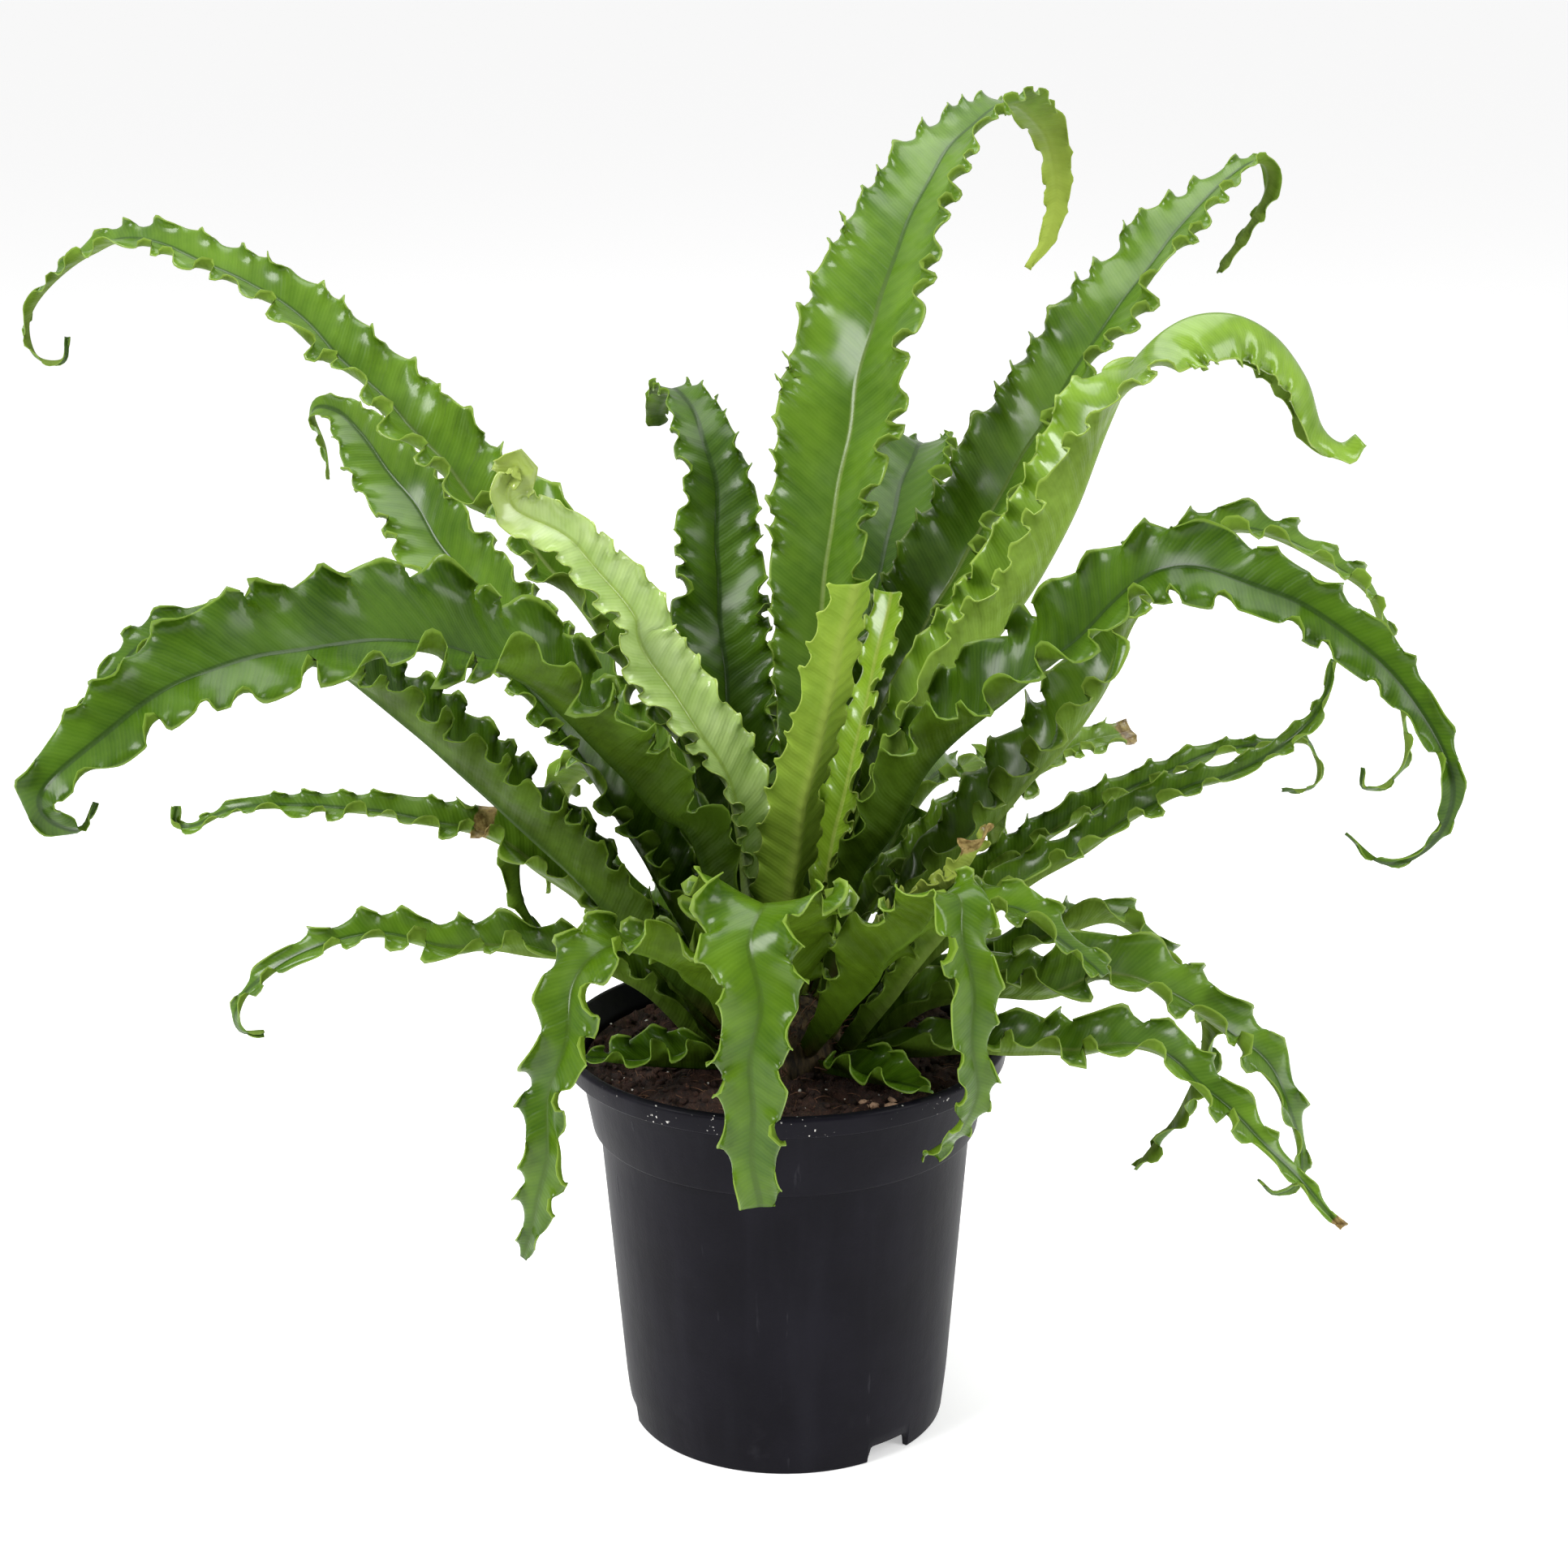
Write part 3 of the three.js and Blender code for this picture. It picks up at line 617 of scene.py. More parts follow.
# Crown: the short stem in the middle, a rough brown half ball with a tapered root, and
# the dry papery scales that stand on it between the fronds' feet.
CROWN_RADIUS = 24.7
CROWN_CENTRE = 146.0
CROWN_ROOT = ((0.0, 120.0), (15.0, 120.0), (20.0, 132.0))
CROWN_RINGS = 22
CROWN_TURNS = 72
CROWN_DARK, CROWN_PALE = (0.012, 0.008, 0.004), (0.11, 0.075, 0.03)
SCALES, SCALE_LENGTHS, SCALE_HALF = 240, (3, 7), 0.45


def crown_points():
    """A half ball, radius R cos e and height R sin e at elevation e, with a root below,
    and ridges that run up it: the radius varies by 3 % with seven waves round it."""
    angles = np.linspace(0, 2 * math.pi, CROWN_TURNS, endpoint=False)
    elevation = np.linspace(0, math.pi / 2, CROWN_RINGS)
    radius = np.concatenate(([r for r, _ in CROWN_ROOT], CROWN_RADIUS * np.cos(elevation)))
    dome = CROWN_CENTRE + CROWN_RADIUS * np.sin(elevation)
    level = np.concatenate(([z for _, z in CROWN_ROOT], dome))
    ridge = 0.985 + 0.015 * np.sin(7 * angles + level[:, None] / 6)
    x = radius[:, None] * ridge * np.cos(angles)
    y = radius[:, None] * ridge * np.sin(angles)
    return np.stack((x, y, level[:, None] + 0 * x), -1).reshape(-1, 3) * MM, len(radius)


crown_material, shader, start = new_material("crown_fibre")
strips = start.place().stretched(500.0, 500.0, 90.0).noise(1.0, 5.0)
colour = strips.step(0.3, 0.7).mix(CROWN_DARK, CROWN_PALE)
feed(shader, Base_Color=colour, Roughness=0.85, Normal=bumped(strips, 0.001))
points, rings = crown_points()
crown = new_piece("crown_stem", points, ring_faces(rings, CROWN_TURNS), crown_material)
join_poles(crown)
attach(crown, "root")
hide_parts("crown")

random = np.random.default_rng(23)
turn = random.uniform(0, 2 * math.pi, SCALES)
elevation = np.arcsin(random.uniform(0.05, 0.98, SCALES))
level = np.cos(elevation)
outward = np.stack((level * np.cos(turn), level * np.sin(turn), np.sin(elevation)), 1)
roots = outward * (CROWN_RADIUS - 1.0) + (0, 0, CROWN_CENTRE)
lengths = random.uniform(*SCALE_LENGTHS, SCALES)
scales = new_piece(
    "crown_scales", *strands(roots, outward, lengths, SCALE_HALF, 0.2, random), fibre_material
)
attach(scales, "root")


# Fronds: each is one leathery blade that springs from the crown and arches outward, with a
# thick midrib. Its halves stand up as a channel near the foot and open towards the tip, and
# each edge is longer than the midrib, so it lies in frills that slant in along the veins.
ROOT_REACH, ROOT_RUN = 25.0, 7.0  # from the crown's centre, and from there straight outward
FOOT_HALF, TIP_HALF, TAPER_POWER = 3.5, 1.0, 1.5
CALM_SHARE = 0.28  # the share of the way at which the frills reach their full size
FOLD = (50, 44, 30, 16)
VEIN_SLANT = 0.62
ROLL_WAVES, SWAY_WAVES = (61, 39), (37, 58)  # wavelengths of the slow changes, in mm
PHASE_WAVES, SIZE_WAVES, SLOW_WAVES = (47, 83, 29), (31, 57), (41, 73)
SKIN, SKIN_AT_RIB = 0.22, 0.16  # half the thickness at the edge, and what the rib adds
KEEL = (2.4, 1.5, 0.3)  # how far the rib stands out below, from the foot to the tip
GROOVE_SHARE, GROOVE_HALF, KEEL_HALF = 0.175, 1.6, 1.7
PALE_STRETCH = 0.2  # the share of the way over which a pale tip sets in
STATIONS = 11  # rows of points to a frill
ACROSS = np.array((0, 0.05, 0.12, 0.32, 0.54, 0.71, 0.83, 0.91, 0.962, 1.0))
ACROSS = np.concatenate((-ACROSS[:0:-1], ACROSS))


def rise(share):
    """Rises smoothly from 0 to 1 as the share does."""
    share = np.clip(share, 0, 1)
    return share * share * (3 - 2 * share)


def along(values, share):
    """Reads values that are spread evenly from the foot to the tip."""
    return np.interp(share, np.linspace(0, 1, len(values)), values)


def spline(points, steps=60):
    """The smooth curve through the points, each stretch a cubic whose slope at a point is
    half the way from the point before it to the point after it."""
    ends = np.concatenate((2 * points[:1] - points[1:2], points, 2 * points[-1:] - points[-2:-1]))
    place = np.linspace(0, len(points) - 1, steps * (len(points) - 1) + 1)
    index = np.minimum(place.astype(int), len(points) - 2)
    u = (place - index)[:, None]
    a, b, c, d = (ends[index + shift] for shift in range(4))
    cubic = 2 * b + (c - a) * u + (2 * a - 5 * b + 4 * c - d) * u**2
    return 0.5 * (cubic + (3 * b - a - 3 * c + d) * u**3)


def midrib(heading, foot, route):
    """The midrib's curve in mm and the level direction to its left. It starts on the
    crown, 25 mm from its centre, runs 7 mm outward and then follows the route, whose
    places are (distance ahead, height above the floor, shift to the left)."""
    turn, tilt = np.radians(foot)
    level = math.cos(tilt)
    out = np.array((level * math.cos(turn), level * math.sin(turn), math.sin(tilt)))
    place = ROOT_REACH * out + (0, 0, CROWN_CENTRE)
    heading = math.radians(heading)
    ahead = np.array((math.cos(heading), math.sin(heading), 0))
    left = np.array((-math.sin(heading), math.cos(heading), 0))
    steps = np.array([(*step, 0)[:3] for step in route], float)
    points = place * (1, 1, 0) + steps[:, :1] * ahead + steps[:, 2:] * left
    points[:, 2] = steps[:, 1]
    return spline(np.concatenate(([place, place + ROOT_RUN * out], points))), left


def unit(vectors):
    """Each vector at length 1."""
    return vectors / np.linalg.norm(vectors, axis=-1, keepdims=True)


def blade_frame(line, left, roll, shares):
    """Centre, direction ahead, direction across and direction up at each share of the
    curve's length. Across is the level left made square to the curve, then rolled."""
    run = np.concatenate(([0], np.cumsum(np.linalg.norm(np.diff(line, axis=0), axis=1))))
    read = [np.interp(shares * run[-1], run, line[:, axis]) for axis in range(3)]
    centre = np.stack(read, 1)
    ends = [np.clip(shares + shift, 0, 1) * run[-1] for shift in (-0.004, 0.004)]
    first, last = (np.stack([np.interp(e, run, line[:, k]) for k in range(3)], 1) for e in ends)
    ahead = unit(last - first)
    across = unit(left - ahead * (ahead @ left)[:, None])
    angle = np.radians(roll)[:, None]
    across = across * np.cos(angle) + np.cross(ahead, across) * np.sin(angle)
    return centre, ahead, across, np.cross(ahead, across), run[-1]


def wander(place, random, sizes, height):
    """Smooth random curve: a sum of sines of the given wavelengths."""
    total = 0 * place
    for size in sizes:
        total = total + height * np.sin(2 * math.pi * place / size + random.uniform(0, 6.3))
    return total


def half_width(row, share):
    """Half the blade's width in mm: read from widths that are spread evenly along it, or
    opening from the foot's to the full half width and then tapering to the tip's."""
    if row["widths"]:
        return along(row["widths"], share)
    wide = FOOT_HALF + (row["half"] - FOOT_HALF) * rise(share / row["widest"])
    late = np.maximum(0, (share - row["taper"]) / (1 - row["taper"]))
    return np.maximum(TIP_HALF, wide * (1 - late**TAPER_POWER))


def blade_sheet(row, random):
    """Middle surface of a blade, in mm, with rows from foot to tip and columns from the
    right edge to the left one, and its half width at each row.

    From the midrib each half leaves at 0.6 of the fold angle and stands at 1.4 of it at
    the edge. The frill adds, at the share t across, up and down the drop
    d = b (cos p + 0.22 cos (2p + 1)), ahead a sin 2p and inward d d / 16, where p runs
    once round for each frill and lags inward along the veins, and b and a grow as
    0.13 t^1.5 + 0.87 t^7. A scallop c sin (p + 0.5) and a tooth that grows as t^12 push
    the edge outward in its own plane. Slow waves sway the midrib, wobble the roll, swell
    each half and make the frills uneven, all smaller near the foot and tip."""
    line, left = midrib(row["heading"], row["foot"], row["route"])
    reach = np.linalg.norm(np.diff(line, axis=0), axis=1).sum()
    frills = max(8, round(reach / row["pitch"]))
    share = np.linspace(0, 1, frills * STATIONS + 1)
    half = half_width(row, share)
    calm = rise(share / CALM_SHARE) * (half / half.max()) ** 0.6
    wobble = calm * wander(share * reach, random, ROLL_WAVES, row["wobble"] / 2)
    roll = along(row["roll"], share) + wobble
    centre, ahead, across, up, reach = blade_frame(line, left, roll, share)
    sway = calm * wander(share * reach, random, SWAY_WAVES, row["sway"] / 2)
    centre = centre + across * sway[:, None]
    fold = np.radians(along(row["fold"], share))[:, None] + 1e-6
    t = np.abs(ACROSS)
    out = half[:, None] * (np.sin(fold * (0.6 + 0.8 * t)) - np.sin(0.6 * fold)) / (0.8 * fold)
    lift = half[:, None] * (np.cos(0.6 * fold) - np.cos(fold * (0.6 + 0.8 * t))) / (0.8 * fold)
    slope = fold * (0.6 + 0.8 * t)
    grow = 0.13 * t**1.5 + 0.87 * t**7
    place = share[:, None] * reach + VEIN_SLANT * (1 - t) * half[:, None]
    drop, slide, tooth = 0 * place, 0 * place, 0 * place
    for side in (ACROSS < 0, ACROSS >= 0):
        phase = 2 * math.pi * place / row["pitch"] + wander(place, random, PHASE_WAVES, 0.7)
        phase = phase + random.uniform(0, 6.3)
        uneven = 1 + wander(place, random, SIZE_WAVES, 0.26)
        size = calm[:, None] * grow * uneven
        slow = wander(place, random, SLOW_WAVES, row["slow"] / 1.4) * calm[:, None] * t**1.5
        swing = np.cos(phase) + 0.22 * np.cos(2 * phase + 1)
        drop = np.where(side, row["ruffle"] * size * swing + slow, drop)
        slide = np.where(side, row["curl"] * size * np.sin(2 * phase), slide)
        point = np.maximum(0, np.cos(phase - 0.6)) ** 6
        scallop = row["scallop"] * size * np.sin(phase + 0.5)
        tooth = np.where(side, row["tooth"] * calm[:, None] * t**12 * point + scallop, tooth)
    pull = drop**2 / 16 - tooth
    sign = np.where(ACROSS < 0, -1.0, 1.0)
    sideways = sign * (out - pull * np.cos(slope) - drop * np.sin(slope))
    upward = lift - pull * np.sin(slope) + drop * np.cos(slope)
    sheet = (
        centre[:, None]
        + ahead[:, None] * slide[..., None]
        + across[:, None] * sideways[..., None]
        + up[:, None] * upward[..., None]
    )
    return sheet, half, share, reach


def shell_faces(rows, columns):
    """Quads of the upper face, of the lower face behind it and of the rim that joins
    them, all wound to face outward."""
    i, j = np.meshgrid(np.arange(rows - 1), np.arange(columns - 1), indexing="ij")
    corner = i * columns + j
    top = np.stack((corner, corner + columns, corner + columns + 1, corner + 1), -1).reshape(-1, 4)
    count = rows * columns
    right = np.arange(rows) * columns
    tip = right[-1] + np.arange(columns)
    left = right[::-1] + columns - 1
    foot = np.arange(columns)[::-1]
    loop = np.concatenate((right[:-1], tip[:-1], left[:-1], foot[:-1]))
    after = np.roll(loop, -1)
    rim = np.stack((after, loop, loop + count, after + count), 1)
    return np.concatenate((top, top[:, ::-1] + count, rim))


def frond(name, finish, **given):
    """Makes one frond, rides it on the root and replaces its solid. The letters of its
    name seed its random waves. It is the sheet moved along its normals: up by the skin
    less the groove, and down by the skin and the keel, where groove and keel fall off as
    exp(-(distance from the rib / half width)^2). Its leaf attribute holds the share of
    the way to the tip, the share across and the distance along in metres; its blade
    attribute the half width in metres, 1 on the upper face and the amount of withering;
    its hue attribute how far the tip has turned pale."""
    row = {
        "fold": FOLD, "roll": (0, 0), "widths": (), "widest": 0.36, "taper": 0.45,
        "pitch": 17.0, "curl": 1.7, "tooth": 1.4, "slow": 1.6, "sway": 0.8, "wobble": 7,
        "scallop": 0.8, "pale_tip": 1.0, "wither": (), **given,
    }
    random = np.random.default_rng(sum(name.encode()))
    sheet, half, share, reach = blade_sheet(row, random)
    normal = unit(np.cross(np.gradient(sheet, axis=0), np.gradient(sheet, axis=1)))
    t = np.abs(ACROSS)
    from_rib = t * half[:, None]
    thick = SKIN + SKIN_AT_RIB * (1 - t) + 0 * from_rib
    keel = along(KEEL, share)[:, None]
    above = thick - GROOVE_SHARE * keel * np.exp(-((from_rib / GROOVE_HALF) ** 2))
    below = thick + keel * np.exp(-((from_rib / KEEL_HALF) ** 2))
    points = np.stack((sheet + normal * above[..., None], sheet - normal * below[..., None]))
    rows, columns = sheet.shape[:2]
    piece = new_piece(
        "blade_" + name, points.reshape(-1, 3) * MM, shell_faces(rows, columns).tolist(),
        leaf_materials[finish],
    )
    pale = rise((share - row["pale_tip"]) / PALE_STRETCH)
    wither = 0 * share
    for middle, spread in row["wither"]:
        wither = np.maximum(wither, np.exp(-(((share - middle) / spread) ** 2)))
    leaf = np.zeros((2, rows, columns, 3))
    leaf[..., 0] = share[:, None]
    leaf[..., 1] = ACROSS
    leaf[..., 2] = share[:, None] * reach * MM
    blade = np.zeros((2, rows, columns, 3))
    blade[..., 0] = half[:, None] * MM
    blade[0, ..., 1] = 1
    blade[..., 2] = wither[:, None]
    hue = np.zeros((2, rows, columns, 3))
    hue[..., 0] = pale[:, None]
    for title, values in (("leaf", leaf), ("blade", blade), ("hue", hue)):
        layer = piece.data.attributes.new(title, "FLOAT_VECTOR", "POINT")
        layer.data.foreach_set("vector", values.ravel())
    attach(piece, "root")
    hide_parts("frond_" + name)


# Spacing in metres of the fine side veins and of the broad ribs between them.
FINE_SPACING, BROAD_SPACING = 0.0015, 0.0062
PALE_TIP = (0.30, 0.38, 0.06)
BROWN_FOOT = (0.05, 0.022, 0.012)
WITHERED_DARK, WITHERED_PALE = (0.13, 0.080, 0.025), (0.36, 0.27, 0.10)


def leaf_material(name, deep, bright, vein, rib, rib_end, margin, under, painted_foot_shade, gloss, coat):
    """Leaf skin: glossy above, with fine side veins that slant towards the tip, a midrib
    of another colour and a thin pale margin; dull and smooth below; darkened towards the
    foot with painted shade, for the shade in the plant's heart; brown at the very foot and
    where it has withered, and paler at some tips."""
    material, shader, start = new_material(name)
    share, across, distance = start.attribute("leaf")
    half, upper, wither = start.attribute("blade")
    pale = start.attribute("hue")[0]
    place = start.place()
    aside = across.size()
    from_rib = aside * half
    cloud = place.noise(38.0, 4.0)
    fine = place.noise(420.0, 3.0)
    slant = distance - from_rib * VEIN_SLANT
    veins = (slant * (2 * math.pi / FINE_SPACING) + cloud * 22.0).wave() * 0.5 + 0.5
    broad = (slant * (2 * math.pi / BROAD_SPACING) + cloud * 9.0).wave() * 0.5 + 0.5
    colour = cloud.step(0.3, 0.7).mix(deep, bright)
    colour = (veins * 0.12 + broad * 0.12).mix(colour, vein)
    colour = (aside.step(0.45, 0.0) * 0.35).mix(colour, deep)
    colour = (aside.step(0.945, 0.985) * 0.85).mix(colour, margin)
    rib_line = from_rib.step(0.0015, 0.0007)
    colour = (rib_line * 0.8).mix(colour, share.step(0.35, 0.62).mix(rib, rib_end))
    lower = (cloud.step(0.3, 0.7) * 0.6 + fine * 0.3).mix(under, vein)
    lower = (from_rib.step(0.0035, 0.001) * 0.5).mix(lower, rib)
    lower = (aside.step(0.955, 0.99) * 0.6).mix(lower, margin)
    colour = upper.step(0.4, 0.6).mix(lower, colour)
    # Painted shade: over the lower part of the way the colour darkens towards the foot, for the
    # shade deep in the plant's heart.
    colour = (share.step(0.42, 0.02) * 0.75).mix(colour, painted_foot_shade)
    colour = (pale * 0.8).mix(colour, PALE_TIP)
    foot = share.step(0.1, 0.0) * from_rib.step(0.004, 0.001)
    colour = (foot * 0.8).mix(colour, BROWN_FOOT)
    frayed = (place.noise(150.0, 5.0) - 0.5) * 1.1 * wither.step(0.02, 0.3)
    ragged = (wither + frayed).step(0.42, 0.62)
    brown = fine.step(0.3, 0.7).mix(WITHERED_DARK, WITHERED_PALE)
    colour = (ragged * wither.step(0.05, 0.2)).mix(colour, brown)
    matt = gloss + cloud * 0.10 + ragged * 0.25 - upper * 0.10 + 0.08 + rib_line * 0.1
    relief = veins * 0.22 + broad * 1.1 + fine * 0.25 + cloud * 3.0
    feed(shader, Base_Color=colour, Roughness=matt, Normal=bumped(relief, 0.00022))
    feed(shader, Specular_IOR_Level=0.06, Coat_Weight=upper * coat, Coat_Roughness=0.2)
    return material


# In each finish below, the colour given last before gloss is the painted shade that the lower part
# of its fronds darkens to.
leaf_materials = {
    "dark": leaf_material(
        "frond_dark_skin", deep=(0.019, 0.054, 0.0012), bright=(0.050, 0.116, 0.0030),
        vein=(0.095, 0.180, 0.012), rib=(0.018, 0.048, 0.003), rib_end=(0.016, 0.042, 0.003),
        margin=(0.145, 0.240, 0.026), under=(0.026, 0.049, 0.0012),
        painted_foot_shade=(0.012, 0.028, 0.0012), gloss=0.34, coat=0.32,
    ),
    "green": leaf_material(
        "frond_green_skin", deep=(0.044, 0.108, 0.004), bright=(0.094, 0.190, 0.009),
        vein=(0.150, 0.260, 0.026), rib=(0.160, 0.230, 0.045), rib_end=(0.026, 0.066, 0.005),
        margin=(0.190, 0.290, 0.040), under=(0.042, 0.078, 0.0025),
        painted_foot_shade=(0.020, 0.044, 0.0018), gloss=0.32, coat=0.50,
    ),
    "light": leaf_material(
        "frond_light_skin", deep=(0.090, 0.180, 0.008), bright=(0.180, 0.320, 0.018),
        vein=(0.260, 0.410, 0.060), rib=(0.220, 0.330, 0.060), rib_end=(0.120, 0.220, 0.015),
        margin=(0.270, 0.390, 0.060), under=(0.082, 0.140, 0.012),
        painted_foot_shade=(0.045, 0.090, 0.005), gloss=0.26, coat=0.8,
    ),
    "front": leaf_material(
        "frond_front_skin", deep=(0.030, 0.080, 0.0015), bright=(0.074, 0.152, 0.0035),
        vein=(0.120, 0.215, 0.012), rib=(0.060, 0.112, 0.006), rib_end=(0.042, 0.090, 0.003),
        margin=(0.210, 0.320, 0.042), under=(0.040, 0.074, 0.0025),
        painted_foot_shade=(0.028, 0.062, 0.002), gloss=0.30, coat=0.45,
    ),
    # The bright finish is partly the leaf's own lime green and partly a painted sheen: its pale,
    # whitish base colours stand in for the gloss that the light lays on it.
    "bright": leaf_material(
        "frond_lime_and_painted_sheen_skin", deep=(0.260, 0.400, 0.080), bright=(0.500, 0.650, 0.240),
        vein=(0.580, 0.720, 0.340), rib=(0.260, 0.380, 0.060), rib_end=(0.260, 0.380, 0.060),
        margin=(0.300, 0.420, 0.060), under=(0.100, 0.170, 0.014),
        painted_foot_shade=(0.060, 0.120, 0.006), gloss=0.20, coat=1.0,
    ),
    "young": leaf_material(
        "frond_young_skin", deep=(0.115, 0.215, 0.009), bright=(0.200, 0.335, 0.018),
        vein=(0.290, 0.420, 0.050), rib=(0.290, 0.370, 0.070), rib_end=(0.250, 0.330, 0.050),
        margin=(0.330, 0.440, 0.080), under=(0.170, 0.280, 0.026),
        painted_foot_shade=(0.070, 0.140, 0.008), gloss=0.24, coat=0.7,
    ),
    "olive": leaf_material(
        "frond_olive_skin", deep=(0.055, 0.105, 0.006), bright=(0.095, 0.155, 0.012),
        vein=(0.140, 0.200, 0.030), rib=(0.120, 0.160, 0.030), rib_end=(0.120, 0.150, 0.030),
        margin=(0.200, 0.230, 0.060), under=(0.060, 0.100, 0.012),
        painted_foot_shade=(0.030, 0.050, 0.004), gloss=0.36, coat=0.3,
    ),
}


frond(
    "tall_centre", heading=60, foot=(92, 64),
    widths=(3.5, 5.6, 11, 18, 25, 30, 28, 22, 16, 11, 7, 1.5), ruffle=4, finish="green",
    fold=(30, 24, 14), roll=(0, -10), pitch=14, curl=1.5, tooth=2.2, pale_tip=0.78,
    route=[
        (13, 232, -2), (33, 313, 1), (60, 393), (86, 433), (120, 466), (150, 482, -2),
        (182, 489, -4), (218, 474, -2), (233, 451, -1), (229, 431, 1), (222, 418, 7),
    ],
)
frond(
    "tall_right", heading=38, foot=(48, 57),
    widths=(3.5, 5.8, 11.3, 18, 24, 26, 25, 24, 22, 19, 8, 4, 1.5), ruffle=4.2, finish="green",
    fold=(36, 30, 14), pitch=14, curl=1.5, tooth=2.2,
    route=[
        (37, 264, 4), (63, 305, 2), (133, 395, -3), (189, 445, -2), (218, 462), (235, 466),
        (238, 453), (212, 424),
    ],
)
frond(
    "bright_right", heading=14, foot=(8, 62),
    widths=(3.5, 4.2, 8, 13.5, 20.5, 24, 24, 23, 22, 22, 18, 12, 7), ruffle=3.2,
    finish="light", fold=(40, 50, 56, 58, 58, 58, 58, 40, -40, -60, -60, -60),
    pitch=14, curl=1.4, tooth=1.0,
    route=[
        (12, 212, -1), (25, 246, -2), (46, 282, -4), (72, 312, -6), (92, 342, -6),
        (115, 392, -2), (126, 410), (141, 420), (160, 421, -1), (177, 412, -1),
        (190, 396, -1), (197, 378, -1), (205, 371, -1), (211, 374, -1),
    ],
)
frond(
    "dark_behind", heading=75, foot=(78, 44), half=26, ruffle=5, finish="dark", taper=0.78,
    pitch=12, curl=1.5,
    route=[
        (30, 190), (130, 285), (170, 318), (215, 338), (250, 332),
    ],
)
frond(
    "dark_centre", heading=100, foot=(130, 58),
    widths=(3.5, 5, 9, 15, 19, 20, 17, 13, 10, 7, 4), ruffle=4, finish="dark",
    fold=(34, 30, 20, 14), pitch=13, curl=1.4, tooth=2.2,
    route=[
        (23, 246, 3), (33, 269, 6), (46, 298, 7), (58, 324, 6), (70, 350, 5), (83, 367, 7),
        (103, 377, 10), (125, 380, 14), (151, 367, 16), (157, 360, 15),
    ],
)
frond(
    "long_left", heading=157, foot=(157, 50), half=24, ruffle=4.5, finish="green",
    fold=(40, 44, 30, 20), roll=(-10, -25), widest=0.45, taper=0.28,
    pitch=16, curl=1.5, tooth=2.4, sway=1.2,
    route=[
        (19, 251), (38, 281), (87, 337), (107, 350, 2), (125, 369, 2), (180, 414, -1),
        (205, 428, -2), (255, 443, -4), (279, 437, -4), (298, 424, -1), (308, 410, 1),
        (304, 396, 3), (292, 395, 2), (291, 404),
    ],
)
frond(
    "left_second", heading=138, foot=(138, 37),
    widths=(3.5, 10, 18, 22, 23, 22, 21, 19, 15, 5, 1.5), ruffle=4, finish="green",
    roll=(-20, -55), pitch=15, curl=1.5, tooth=2.0,
    route=[
        (43, 227, -11), (77, 247, -10), (112, 272, -9), (142, 290, -6), (186, 327, -7),
        (228, 358, -10), (245, 364, -10), (253, 361, -8), (249, 347, -10), (245, 334, -8),
    ],
)
# Its bright finish holds a painted sheen in its colour, on top of its own lime green.
frond(
    "bright_left", heading=178, foot=(176, 67),
    widths=(3.5, 7, 12, 15, 16, 15, 13, 11, 9, 6.5), ruffle=2.6, finish="bright", fold=(36, 24),
    roll=(5, -45, -75), pitch=11, curl=1.1, tooth=1.4, pale_tip=0.8,
    route=[
        (9, 247, -5), (41, 301, -7), (46, 317, -7), (66, 343, -5), (88, 359), (85, 373),
        (90, 368),
    ],
)
frond(
    "big_left", heading=215, foot=(218, 52), half=30, ruffle=6, finish="dark",
    fold=(40, 40, 24, 16), roll=(0, -45), widest=0.4, taper=0.55,
    pitch=19, curl=1.9, scallop=2.2, tooth=1.2, slow=2.4,
    route=[
        (23, 237), (37, 252, -4), (57, 275, -4), (95, 312, -1), (139, 331), (187, 334, 1),
        (221, 330), (258, 311, 1), (270, 301), (267, 292, -2), (257, 287, -2),
        (252, 295, -1),
    ],
)
frond(
    "under_left", heading=197, foot=(206, 34), half=25, ruffle=4.5, finish="dark",
    roll=(5, -20), pitch=13, curl=1.5,
    route=[
        (38, 200, 1), (63, 231), (135, 305), (169, 324, 2), (191, 329, 2), (211, 325, 2),
        (240, 293, 2),
    ],
)
frond(
    "inner_left", heading=172, foot=(184, 41), half=20, ruffle=4.5, finish="dark",
    roll=(0, -30), widest=0.46, pitch=13, curl=1.5,
    route=[
        (16, 196, 4), (50, 256, 7), (72, 284, 3), (94, 303), (112, 310),
    ],
)
frond(
    "torn_left", heading=180, foot=(178, 20),
    widths=(3.5, 6.5, 13, 18, 18, 11, 9, 7, 5, 3, 2), ruffle=5, finish="green",
    roll=(-10, -30), pitch=14, sway=1.5, wither=((0.5, 0.015),),
    route=[
        (38, 195, 1), (82, 231), (120, 242), (161, 246), (181, 245), (196, 238), (204, 239),
        (203, 246),
    ],
)
frond(
    "back_left", heading=152, foot=(152, 16), half=12, ruffle=3, finish="dark",
    route=[
        (20, 172), (70, 212), (92, 212), (94, 190), (80, 168),
    ],
)
frond(
    "low_left", heading=193, foot=(196, 13), widths=(3.5, 6, 10, 12, 12, 11, 10, 8, 5, 3, 1),
    ruffle=4.5, finish="green", roll=(-5, -30), pitch=18, scallop=2.2, sway=2, wobble=14,
    route=[
        (37, 184), (79, 198), (101, 201), (140, 208), (171, 194), (180, 183), (179, 175),
        (171, 174),
    ],
)
frond(
    "hang_left", heading=236, foot=(236, 26),
    widths=(3.5, 9, 17, 20, 17, 13, 12, 11, 10, 7, 2), ruffle=5.5, finish="front",
    fold=(50, 30, 20, 14), pitch=18, curl=2.2, tooth=0.5, scallop=3.2, sway=3,
    wobble=16, slow=2.4,
    route=[
        (44, 198, 8), (68, 215, 8), (91, 225, 6), (107, 219, 4), (119, 197, 4), (127, 148),
        (125, 117, -10),
    ],
)
